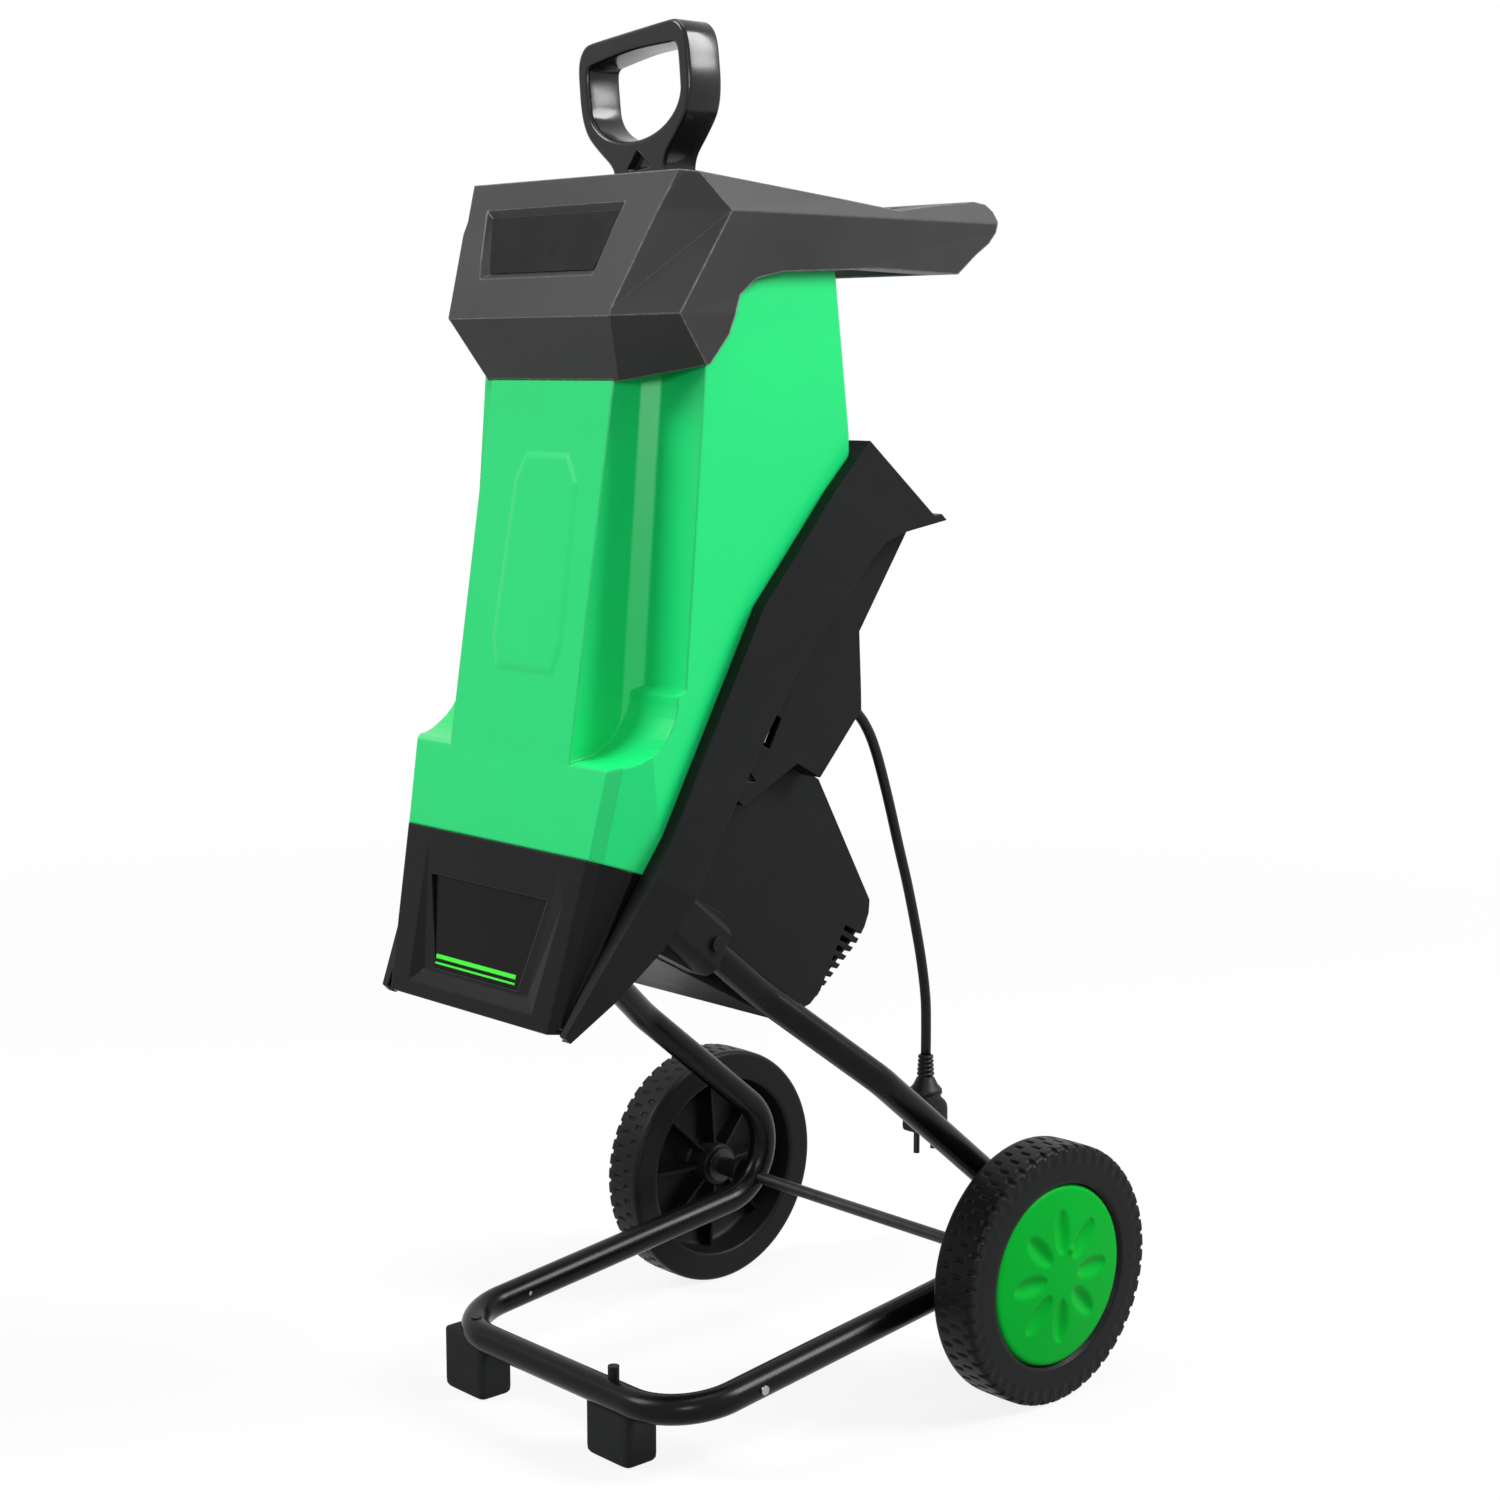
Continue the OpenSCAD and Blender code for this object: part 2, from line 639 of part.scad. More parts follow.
module at_cover_screws() for (x = [-box_half + 8, box_half - 8]) for (s = [112, 182])
    translate([x, cover_w, s]) rotate([90, 0, 0]) children();

module vent_cover() color([0.11, 0.11, 0.12]) split_frame() difference() {
    intersection() {
        union() {
            difference() {
                across(box_half) polygon(box_outline);
                across(box_half - shell_wall) polygon(inset(box_outline, shell_wall));
            }
            intersection() {
                across(box_half) polygon(box_outline);
                for (x = [-box_half + 8, box_half - 8]) for (s = [112, 182])
                    translate([x, cover_w, s]) rotate([-90, 0, 0]) cylinder(h = 40, r = 6);
            }
        }
        translate([-200, cover_w + rest_gap, 0]) cube([400, 60, 300]);
    }
    for (i = [-3 : 3]) {
        translate([i * 20 - 5, box_end_w - 12, 120]) cube([10, 30, 50]);
        at_both_sides() translate([box_half - 6, box_end_w - 20, 140 + i * 8 - 2]) cube([20, 30, 4]);
    }
    at_cover_screws() cylinder(h = 120, r = 1.8 + seat_gap, center = true);
    at_cover_screws() translate([0, 0, -60]) cylinder(h = 46, r = 3.6);
}

module cover_screws() color([0.6, 0.6, 0.62]) split_frame() at_cover_screws() {
    translate([0, 0, -14.2]) cylinder(h = 26, r = 1.8);
    translate([0, 0, -16.2]) cylinder(h = 2, r = 3.4);
}

module side_clips() color([0.75, 0.75, 0.76]) split_frame() at_both_sides()
    translate([upper_half - 4.5, clip_slot_w + rest_gap, clip_slot_s + 2])
        cube([5.5, 2.5, clip_slot_len - 4]);

plate_half = 98;
plate_low_s = 84;
plate_high_s = 246;

module plate_screw_places() for (x = [8 - plate_half, plate_half - 8])
    for (s = [plate_low_s + 8, plate_high_s - 8])
        translate([x, plate_w, s]) rotate([90, 0, 0]) children();

module motor_plate() color([0.5, 0.51, 0.53]) split_frame() difference() {
    translate([-plate_half, plate_w, plate_low_s])
        cube([2 * plate_half, plate_t, plate_high_s - plate_low_s]);
    translate([0, plate_w - 1, shaft_s]) rotate([-90, 0, 0])
        cylinder(h = plate_t + 2, r = bearing_r + seat_gap);
    plate_screw_places() cylinder(h = 30, r = 2.5 + seat_gap, center = true);
}

bearing_r = 14;

module plate_screws() color([0.7, 0.7, 0.72]) split_frame() plate_screw_places() {
    translate([0, 0, -plate_t - 10]) cylinder(h = plate_t + 10 + rest_gap, r = 2.5);
    translate([0, 0, rest_gap]) cylinder(h = 2.5, r = 4.5);
}

module motor_can() color([0.45, 0.46, 0.48]) split_frame() translate([0, motor_w, shaft_s])
    rotate([-90, 0, 0]) difference() {
        union() {
            cylinder(h = motor_len, r = motor_d / 2);
            translate([0, 0, plate_w + plate_t + rest_gap - motor_w])
                cylinder(h = motor_w - plate_w - plate_t, r = motor_d / 2 - 12);
        }
        translate([0, 0, -20]) cylinder(h = motor_len + 40, r = shaft_d / 2 + 2);
        translate([0, 0, 4]) cylinder(h = motor_len - 8, r = motor_d / 2 - 22);
        for (a = [0 : 30 : 330]) rotate(a) translate([motor_d / 2, 0, 10])
            cylinder(h = motor_len - 20, r = 2.5, $fn = 16);
    }

module bearing() rotate([-90, 0, 0]) difference() {
    cylinder(h = plate_t, r = bearing_r);
    translate([0, 0, -1]) cylinder(h = plate_t + 2, r = shaft_d / 2 + run_gap);
}

module front_bearing() color([0.8, 0.8, 0.82]) split_frame() translate([0, plate_w, shaft_s])
    bearing();

module rear_bearing() color([0.8, 0.8, 0.82]) split_frame()
    translate([0, motor_w + motor_len + rest_gap, shaft_s]) bearing();

module switch_box() color([0.16, 0.16, 0.17]) split_frame()
    translate([0, 92, buttons_s]) difference() {
        translate([-42, 0, -44]) cube([84, 20.3, 56]);
        for (x = [-24, 0, 24]) translate([x, 2, 0]) rotate([-90, 0, 0]) {
            cylinder(h = 20, r = 4.4);
            translate([0, 0, 6]) cylinder(h = 20, r = button_r + 0.4);
        }
    }

module button(x, h) split_frame() translate([x, upper_back_w, buttons_s]) rotate([-90, 0, 0]) {
    translate([0, 0, -12]) cylinder(h = 12 + h, r = button_r);
    translate([0, 0, -19]) cylinder(h = 8, r = 4);
}

module on_button() color([0.1, 0.6, 0.2]) button(-24, 6);
module off_button() color([0.75, 0.1, 0.08]) button(0, 7.5);
module reset_button() color([0.12, 0.12, 0.12]) button(24, 5);

module knob_bolt() color([0.65, 0.65, 0.68]) split_frame() translate([0, knob_w, knob_s])
    rotate([90, 0, 0]) translate([0, 0, -8]) cylinder(h = 8 + 32, r = bolt_r);

module locking_knob() color([0.1, 0.1, 0.1]) split_frame()
    translate([0, knob_w - 2 + move_gap, knob_s]) rotate([-90, 0, 0]) difference() {
        union() {
            cylinder(h = 18, r = 18);
            for (a = [0 : 60 : 300]) rotate(a) translate([16, 0, 0]) cylinder(h = 18, r = 5.5);
        }
        translate([0, 0, -1]) cylinder(h = 11.2, r = bolt_r + seat_gap);
    }

// ---------------------------------------------------------------- cord

function cord_ring(i) =
    let (last = len(cord_route) - 1,
        d = unit(cord_route[min(i + 1, last)] - cord_route[max(i - 1, 0)]),
        side = [1, 0, 0],
        up = cross(d, side))
    [for (j = [0 : cord_sides - 1]) cord_route[i]
        + cord_d / 2 * (cos(360 * j / cord_sides) * side + sin(360 * j / cord_sides) * up)];

module power_cord() color([0.06, 0.06, 0.06])
    loft([for (i = [len(cord_route) - 1 : -1 : 0]) cord_ring(i)]);

gland_dir = unit(cord_route[0] - cord_route[1]);

gland_r = 8.5;

// Zero is the gland's tip and Z points out of the housing, along the cord.
module gland_place() translate(cord_route[1])
    rotate([0, acos(-gland_dir.z), atan2(-gland_dir.y, -gland_dir.x)]) children();

module cord_gland() color([0.08, 0.08, 0.08]) gland_place() difference() {
    union() {
        translate([0, 0, -29]) cylinder(h = 29, r1 = gland_r, r2 = cord_d / 2 + 1.5);
        translate([0, 0, -40]) cylinder(h = 11.5, r = gland_r);
        translate([0, 0, -29]) cylinder(h = 2, r = gland_r + 3);
    }
    translate([0, 0, -7]) cylinder(h = 8, r = cord_d / 2 + 0.2);
}

module plug_body() color([0.08, 0.08, 0.08]) {
    p = cord_route[len(cord_route) - 1];
    difference() {
        translate([p.x, p.y, p.z]) mirror([0, 0, 1]) {
            rotate_extrude() polygon([[0, 0], [cord_d / 2 + 2, 0], [cord_d / 2 + 3, 18], [9, 24],
                [12, 27], [12, 31], [9, 33], [0, 33]]);
            translate([0, 0, 32]) linear_extrude(6) square([18, 26], center = true);
            translate([0, 0, 37]) linear_extrude(plug_h - 37 - rest_gap * 3)
                square([16, 40], center = true);
        }
        for (k = [-0.5, 0.5]) translate([p.x, p.y + k * plug_pin_pitch, p.z - plug_h])
            cylinder(h = 11, r = pin_neck_r + seat_gap);
    }
}

module plug_pins() color([0.8, 0.8, 0.82]) {
    p = cord_route[len(cord_route) - 1];
    for (k = [-0.5, 0.5]) translate([p.x, p.y + k * plug_pin_pitch, p.z - plug_h]) {
        translate([0, 0, -plug_pin_len]) cylinder(h = plug_pin_len, r = plug_pin_d / 2);
        translate([0, 0, -1]) cylinder(h = 11, r = pin_neck_r);
    }
}

// ---------------------------------------------------------------- rotor

module drive_shaft() color([0.7, 0.7, 0.72]) split_frame() translate([0, disc_w, shaft_s])
    rotate([-90, 0, 0]) difference() {
        cylinder(h = shaft_end_w - disc_w, r = shaft_d / 2);
        translate([0, 0, -1]) cylinder(h = 13, r = 3 + seat_gap);
    }

module blade_places() for (a = [0, 180]) rotate(a) translate([disc_d / 4 + 8, 0, 0]) children();

module cutter_disc() color([0.6, 0.6, 0.62]) split_frame() translate([0, disc_w, shaft_s])
    rotate([-90, 0, 0]) difference() {
        union() {
            cylinder(h = disc_t, r = disc_d / 2, $fn = 96);
            cylinder(h = disc_t + 6, r = 16);
        }
        translate([0, 0, -1]) cylinder(h = 20, r = shaft_d / 2 + seat_gap);
        blade_places() {
            translate([0, 17, disc_t / 2]) cube([62, 8, disc_t + 2], center = true);
            for (x = [-18, 18]) translate([x, 0, -1]) cylinder(h = 20, r = 2.5 + seat_gap);
        }
    }

module cutter_blades() color([0.78, 0.78, 0.8]) split_frame()
    translate([0, disc_w - rest_gap, shaft_s]) rotate([90, 0, 0]) blade_places() difference() {
        translate([-31, -13, 0]) cube([62, 26, 3]);
        translate([0, -14, 4]) rotate([45, 0, 0]) cube([70, 4, 4], center = true);
        for (x = [-18, 18]) translate([x, 0, -1]) cylinder(h = 20, r = 2.5 + seat_gap);
    }

module blade_screws() color([0.3, 0.3, 0.32]) split_frame()
    translate([0, disc_w - rest_gap - 3, shaft_s]) rotate([-90, 0, 0]) blade_places()
        for (x = [-18, 18]) translate([x, 0, 0]) {
            cylinder(h = disc_t + 3, r = 2.5);
            translate([0, 0, -2.6]) cylinder(h = 2.5, r = 4.5);
        }

module disc_bolt() color([0.5, 0.5, 0.52]) split_frame() translate([0, disc_w, shaft_s])
    rotate([-90, 0, 0]) {
        translate([0, 0, -1]) cylinder(h = 12, r = 3);
        translate([0, 0, -rest_gap - 1.5]) cylinder(h = 1.5, r = 10);
        translate([0, 0, -rest_gap - 6]) cylinder(h = 5, r = 5.5, $fn = 6);
    }

module cooling_fan() color([0.2, 0.2, 0.21]) split_frame() translate([0, fan_w, shaft_s])
    rotate([-90, 0, 0]) difference() {
        union() {
            cylinder(h = 2, r = fan_d / 2);
            cylinder(h = fan_t, r = 12);
            for (a = [0 : 40 : 320]) rotate(a) translate([10, -1, 1]) cube([fan_d / 2 - 11, 2, fan_t - 1]);
        }
        translate([0, 0, -1]) cylinder(h = fan_t + 2, r = shaft_d / 2 + seat_gap);
    }

// ---------------------------------------------------------------- hopper

cove_mid = [facet_low.x - 7 - cove_r, facet_low.y - 4];
cove_steps = 9;

// Y on a leaning face at a height.
function on_face(low, lean, z) = low.x + (z - low.y) * tan(lean);

function rear_y(z) = z < rear_knee_z ? rear_low_y : rear_low_y - (z - rear_knee_z) * tan(rear_lean);

// Side profile of the hopper beside the front panel, with its walls moved inward by d.
function flank_profile(d, top) = concat(
    [[rear_low_y - d, 400], [rear_low_y - d, rear_knee_z], [rear_y(top) - d, top],
        [on_face(facet_low, facet_lean, top) + d, top],
        [facet_low.x + d, facet_low.y]],
    [for (i = [0 : cove_steps]) let (a = -90 * i / cove_steps)
        cove_mid + (cove_r + d) * [cos(a), sin(a)]],
    [[panel_low.x + d, panel_low.y - d], [on_face(base_low, base_lean, 400) + d, 400]]);

function panel_profile(d, top) = [[rear_low_y - d, 400], [rear_low_y - d, rear_knee_z],
    [rear_y(top) - d, top], [on_face(panel_low, panel_lean, top) + d, top],
    [panel_low.x + d, panel_low.y], [on_face(base_low, base_lean, 400) + d, 400]];

// Corner of the base that the slanted side facets leave, narrowed by d.
module base_corners(d) translate([0, base_low.x, base_low.y]) rotate([-base_lean, 0, 0])
    at_both_sides() translate([corner_half - d, 0, 0]) rotate([0, corner_roll, 0])
        translate([0, 0, -120]) linear_extrude(120 + 108)
            polygon([[-1, -20], [0, d], [corner_cut, corner_cut + d], [19, 53], [100, 53], [100, -20]]);

module hopper_form(d, top) difference() {
    union() {
        across(hopper_half - d) polygon(flank_profile(d, top));
        across(panel_half - d) polygon(panel_profile(d, top));
        intersection() {
            translate([0, facet_low.x + d, facet_low.y]) rotate([-facet_lean, 0, 0])
                translate([0, 0, -60]) linear_extrude(500) polygon([[-panel_half - strip_w + d - 4, 4],
                    [-panel_half + d + 3, -strip_w - 3], [panel_half - d - 3, -strip_w - 3],
                    [panel_half + strip_w - d + 4, 4]]);
            across(hopper_half) polygon([[-400, facet_low.y - 60], [-100, facet_low.y - 60],
                [-100, top], [-400, top]]);
        }
    }
    base_corners(d);
}

// Black wedge below the hopper, with its walls moved inward by d.
module shroud_form(d) {
    y0 = shroud_low_y + d;
    y1 = shroud_top.x + d;
    z0 = split_z - 0.2 + d * 0.6;
    z1 = seam_z;
    loft([
        both_halves([[91 - d, y0, z0], [96.5 - d, y0 + 5.5, z0], [100 - d, -384, z0],
            [100 - d, -330, z0]]),
        both_halves([[corner_half - 1 - d, y1, z1], [corner_half + corner_cut - 1 - d, y1 + 8, z1],
            [117.5 - d, -336, z1], [117.5 - d, -290, z1]])
    ]);
}

// Keeps what lies ahead of the rim and what enters its opening.
module closes_rim() {
    intersection() {
        children();
        union() {
            ahead_of_split(-1);
            intersection() {
                ahead_of_split(ledge_w - move_gap);
                rim_opening(move_gap);
            }
        }
    }
}

// Everything below the seam between hopper and shroud, which falls towards the rear.
module under_seam() across(300)
    polygon([[-500, seam_at(-500)], [-150, seam_at(-150)], [-150, 250], [-500, 250]]);

shroud_extra = 1.5;
shroud_wall = hopper_wall + shroud_extra;
panel_depth = 4.9;

// Thicker wall behind the panel on the shroud, d thicker still.
module shroud_pad(d) shroud_front_frame() translate([0, 0, -panel_depth - 2 - d])
    linear_extrude(panel_depth + 2 + d) polygon(recess_outline(-3 - d));

// Space between the walls of the hopper and of the shroud, less d at each wall.
module hopper_space(d) {
    difference() {
        hopper_form(hopper_wall + d, 960);
        under_seam();
    }
    difference() {
        intersection() {
            shroud_form(shroud_wall + d);
            under_seam();
        }
        shroud_pad(d);
    }
}

// Moves children from the stand's frame into the split frame, whose solids they meet.
module in_split() rotate([split_tilt, 0, 0]) translate([0, split_run, -split_z]) children();

lug_low_s = knob_s - 11;

module hopper_shell() color([0.13, 0.78, 0.32]) split_frame() difference() {
    union() {
        closes_rim() in_split() difference() {
            hopper_form(0, hopper_top_z);
            hopper_form(hopper_wall, 960);
            under_seam();
        }
        // Lug that the locking bolt enters.
        difference() {
            translate([-15, 0, lug_low_s]) cube([30, knob_w - 21, 22]);
            in_split() hopper_form(hopper_wall - 1, 960);
        }
    }
    translate([0, knob_w, knob_s]) rotate([90, 0, 0]) cylinder(h = 35, r = bolt_r + 1.3);
}

module hinge_barrels(from, to, r) at_both_sides() translate([from, hinge_w, hinge_s])
    rotate([0, 90, 0]) cylinder(h = to - from, r = r);

module front_shroud() color([0.14, 0.14, 0.15]) split_frame() difference() {
    union() {
        closes_rim() in_split() difference() {
            shroud_form(0);
            difference() {
                shroud_form(shroud_wall);
                shroud_pad(0);
            }
            across(150) polygon([[-500, seam_at(-500) - rest_gap], [-150, seam_at(-150) - rest_gap],
                [-150, 500], [-500, 500]]);
        }
        hinge_barrels(knuckle_in, knuckle_out, knuckle_r);
        at_both_sides() translate([knuckle_in, -1.6, hinge_s]) cube([knuckle_out - knuckle_in, 3.4, 8]);
    }
    hinge_barrels(0, 100, hinge_rod_r + run_gap);
    translate([-knuckle_in + 1.5, hinge_w, hinge_s]) rotate([0, 90, 0])
        cylinder(h = 2 * knuckle_in - 3, r = knuckle_r + 0.5);
    in_split() shroud_front_frame() {
        translate([0, 0, -panel_depth]) linear_extrude(10) polygon(recess_outline(0));
        // Shallow hollow round the panel, which fades out towards the seam.
        loft([[[-60, 20, -3.5], [60, 20, -3.5], [77, 122, 0.5], [-77, 122, 0.5]],
            [[-78, 4, 2], [78, 4, 2], [99, 126, 2], [-99, 126, 2]]]);
    }
}

// Frame on the shroud's front face: X across, Y up the face, Z out of it.
module shroud_front_frame() translate([0, shroud_low_y, split_z - 0.2])
    rotate([90 - shroud_lean, 0, 0]) children();

function recess_outline(d) = [[-48 + d, 23 + d], [48 - d, 23 + d], [67 - d, 88 - d], [-67 + d, 88 - d]];

module shroud_badge_plate() color([0.05, 0.05, 0.06]) split_frame() in_split() shroud_front_frame()
    translate([0, 0, seat_gap - panel_depth]) linear_extrude(1) polygon(recess_outline(0.3));

module shroud_stripes() color([0.2, 0.95, 0.1]) split_frame() in_split() shroud_front_frame()
    translate([-2, 0, 1 + 2 * seat_gap - panel_depth]) {
        translate([-46, 30, 0]) cube([92, 3, 0.6]);
        translate([-46, 26, 0]) cube([92, 1.4, 0.6]);
    }

module hopper_floor() color([0.2, 0.2, 0.21]) split_frame() difference() {
    intersection() {
        difference() {
            ahead_of_split(-3);
            ahead_of_split(-6);
        }
        in_split() hopper_space(rest_gap);
        translate([-200, -200, 14]) cube([400, 400, 450]);
    }
    translate([-mouth_half, -20, 95]) cube([2 * mouth_half, 40, 140]);
}

module hinge_rod() color([0.7, 0.7, 0.72]) split_frame() translate([0, hinge_w, hinge_s])
    rotate([0, 90, 0]) cylinder(h = 2 * knuckle_out - 2, r = hinge_rod_r, center = true);

// ---------------------------------------------------------------- collar

collar_side = [[-294.3, collar_top_z], [-335.4, 811.6], [-313.8, 768], [-277, 780], [-262, 800],
    [-254, 826], [-240, 837], [-215, 842], [-169, 844], [-124, 846], [-44, 844], [-26, 858],
    [-12, 867], [-5, 875], [-3, 883], [-6, 890], [-13, 895], [-25, 896.5], [-60, 893], [-105, 887]];

// Solid outer form of the collar; d moves its walls inward.
module collar_form(d) intersection() {
    across(200) polygon(inset(collar_side, d));
    loft([
        both_halves([[62.2 - d, -311.3 + d, 755], [122.9 - d, -261.2 + d, 755],
            [125.9 - d, 20, 755]]),
        both_halves([[86.1 - d, -338.2 + d, 811.6], [129 - d, -307 + d, 813],
            [collar_half - 1 - d, 20, 813]]),
        both_halves([[102.3 - d, -309.8 + d, 881 - d / 2], [collar_half - d, -265 + d, 881 - d / 2],
            [collar_half - d, 20, 881 - d / 2]]),
        both_halves([[110 - d, -296.8 + d, 912], [119 - d, -288 + d, 912], [124 - d, 20, 912]])
    ]);
}

// Inside of the collar, below its top plate.
module collar_inside() difference() {
    intersection() {
        collar_form(collar_wall);
        translate([-200, -400, 700]) cube([400, 400 + hand_front_y - collar_wall, 300]);
    }
    // Thicker wall behind the badge recess.
    collar_front_frame() translate([0, 0, -badge_depth - collar_wall])
        linear_extrude(badge_depth + collar_wall) polygon(badge_outline(-2));
    translate([-slot_half - 15, pocket_front_y - 3, pocket_z - collar_wall])
        cube([2 * slot_half + 30, pocket_back_y - pocket_front_y + 6, 60]);
}

module hopper_collar() color([0.14, 0.14, 0.15]) placed() difference() {
    collar_form(0);
    collar_inside();
    hopper_form(-rest_gap, hopper_top_z + rest_gap);
    // Throat, seat pocket, hand opening, hollow arms and the badge recess.
    translate([-slot_half, slot_front_y, 700]) cube([2 * slot_half, slot_back_y - slot_front_y, 300]);
    translate([-slot_half - 12, pocket_front_y, pocket_z])
        cube([2 * slot_half + 24, pocket_back_y - pocket_front_y, 60]);
    translate([-collar_half + arm_w, hand_front_y, 700])
        cube([2 * (collar_half - arm_w), hand_back_y - hand_front_y, 300]);
    collar_front_frame()
        sunk(badge_outline(0), badge_outline(badge_rim), badge_depth);
}

// Frame on the collar's front face.
module collar_front_frame() translate([0, -335.4, 811.6])
    rotate([90 - atan(41.1 / (collar_top_z - 811.6)), 0, 0]) children();

badge_depth = 4;
badge_rim = 5;
function badge_outline(d) = [[-68 + d, 30 + d], [58 - d, 30 + d], [68.5 - d, 83.5 - d],
    [-86 + d, 83.5 - d]];

// Recess with slanted walls: an outline at the surface narrows to another at a depth.
module sunk(outer, floor, depth) {
    above = 2;
    loft([[for (p = floor) [p.x, p.y, -depth]],
        [for (i = [0 : len(outer) - 1]) let (p = outer[i] + (outer[i] - floor[i]) * above / depth)
            [p.x, p.y, above]]]);
}

module collar_badge_plate() color([0.05, 0.05, 0.06]) placed() collar_front_frame()
    translate([0, 0, -badge_depth + seat_gap]) linear_extrude(1) polygon(badge_outline(badge_rim + 0.3));

// ---------------------------------------------------------------- push stick

flange_z = pocket_z + 0.3;
stick_low_z = 700;

module push_stick() color([0.13, 0.13, 0.14]) placed() difference() {
    union() {
        translate([-stick_half, grip_mid_y - stick_t / 2, stick_low_z])
            cube([2 * stick_half, stick_t, flange_z - stick_low_z + 1]);
        translate([-slot_half - 7, pocket_front_y + 4, flange_z])
            cube([2 * slot_half + 14, pocket_back_y - pocket_front_y - 8, 4]);
    }
    translate([-stick_half + 3, grip_mid_y - stick_t / 2 + 3, stick_low_z + 3])
        cube([2 * stick_half - 6, stick_t - 6, flange_z - stick_low_z - 3]);
}

bowl_top = 63;
bowl_deep = 30;

function grip_outer() = let (h = grip_w / 2) [[26, -7], [26.5, 14], [44, 30], [h - 2, 50], [h, 62],
    [h, 92], [h - 3, 101], [h - 9, 107], [h - 20, 109], [-h + 20, 109], [-h + 9, 107], [-h + 3, 101],
    [-h, 92], [-h, 62], [-h + 2, 50], [-44, 30], [-26.5, 14], [-26, -7]];

// Hole of the handle: half an ellipse below, sides that rise from it and a straight top.
function grip_inner() = let (h = grip_w / 2 - 11) concat(
    [for (i = [0 : 12]) let (a = 180 + 180 * i / 12)
        [h * cos(a), bowl_top + bowl_deep * sin(a)]],
    [[h, 86], [h - 3, 92], [h - 10, 109 - grip_bar], [0, 111 - grip_bar],
        [-h + 10, 109 - grip_bar], [-h + 3, 92], [-h, 86]]);

module push_handle() color([0.13, 0.13, 0.14]) placed() {
    translate([9, grip_mid_y + grip_t / 2, 903]) rotate([90, -grip_lean, 0]) difference() {
        linear_extrude(grip_t) difference() {
            polygon(grip_outer());
            polygon(grip_inner());
        }
        for (z = [-1, grip_t - 6]) translate([0, 0, z])
            linear_extrude(7) polygon([[-12, 13], [12, 13], [0, 25]]);
    }
    translate([-34, grip_mid_y - grip_t / 2 - 4, flange_z + 4 + rest_gap]) cube([84, grip_t + 8, 7]);
}

left_side_tube();
right_side_tube();
front_bar();
left_foot();
right_foot();
foot_pegs();
joint_screws();
leg_screws();
axle();
axle_sleeves();
axle_nuts();
left_wheel();
right_wheel();
left_hub_cap();
right_hub_cap();
motor_housing();
vent_cover();
side_clips();
motor_plate();
motor_can();
front_bearing();
rear_bearing();
switch_box();
cord_gland();
power_cord();
plug_body();
plug_pins();
cover_screws();
plate_screws();
drive_shaft();
cutter_disc();
cutter_blades();
blade_screws();
disc_bolt();
cooling_fan();
on_button();
off_button();
reset_button();
locking_knob();
knob_bolt();
hopper_shell();
hopper_collar();
collar_badge_plate();
front_shroud();
shroud_badge_plate();
shroud_stripes();
hopper_floor();
hinge_rod();
push_stick();
push_handle();
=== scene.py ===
"""Looks of an electric garden shredder on a wheeled tube stand.

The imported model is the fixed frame. Every new surface is worked out with numpy as a function of
two parameters, placed in the part's own frame in metres, and rides on one of the frame's bodies.
"""

from __future__ import annotations

import logging
import math
from dataclasses import dataclass, field
from enum import Enum

import bpy
import numpy as np
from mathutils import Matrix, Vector

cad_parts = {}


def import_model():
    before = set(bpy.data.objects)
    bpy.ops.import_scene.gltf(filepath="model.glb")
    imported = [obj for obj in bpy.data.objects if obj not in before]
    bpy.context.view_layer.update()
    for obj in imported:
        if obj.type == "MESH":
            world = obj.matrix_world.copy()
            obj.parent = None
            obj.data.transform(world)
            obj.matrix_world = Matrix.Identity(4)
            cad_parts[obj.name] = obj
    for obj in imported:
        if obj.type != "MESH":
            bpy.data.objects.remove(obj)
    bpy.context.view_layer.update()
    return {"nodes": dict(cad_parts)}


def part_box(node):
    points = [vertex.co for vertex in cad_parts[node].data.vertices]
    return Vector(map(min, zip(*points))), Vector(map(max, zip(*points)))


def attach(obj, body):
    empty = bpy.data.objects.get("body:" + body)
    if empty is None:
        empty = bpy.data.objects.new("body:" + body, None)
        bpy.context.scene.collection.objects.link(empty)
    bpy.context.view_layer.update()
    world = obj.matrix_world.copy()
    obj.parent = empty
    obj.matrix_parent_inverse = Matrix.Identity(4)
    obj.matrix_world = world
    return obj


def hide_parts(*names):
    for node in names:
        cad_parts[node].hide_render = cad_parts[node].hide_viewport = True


LOG = logging.getLogger("shredder")
MM = 0.001
AXLE_Y = 147.7 * MM
COAT_ROUGHNESS = 0.08
NOISE_LOW, NOISE_HIGH = 0.3, 0.7
SCUFF_SIZE = 0.006
Rgb = tuple[float, float, float]
Point = tuple[float, float, float]
Pair = tuple[float, float]
Socket = bpy.types.NodeSocket


def srgb(red: int, green: int, blue: int) -> Rgb:
    """Linear colour of three display values from 0 to 255.

    Args:
        red: Red display value.
        green: Green display value.
        blue: Blue display value.

    Returns:
        The three linear values, from the display curve's own power law.
    """
    parts = np.array([red, green, blue]) / 255.0
    linear = np.where(parts <= 0.04045, parts / 12.92, ((parts + 0.055) / 1.055) ** 2.4)
    return tuple(float(v) for v in linear)


# ---------------------------------------------------------------- surfaces


def ease(value: np.ndarray) -> np.ndarray:
    """Smooth step: 0 below 0, 1 above 1, and 3t^2 - 2t^3 between them."""
    t = np.clip(value, 0.0, 1.0)
    return t * t * (3.0 - 2.0 * t)


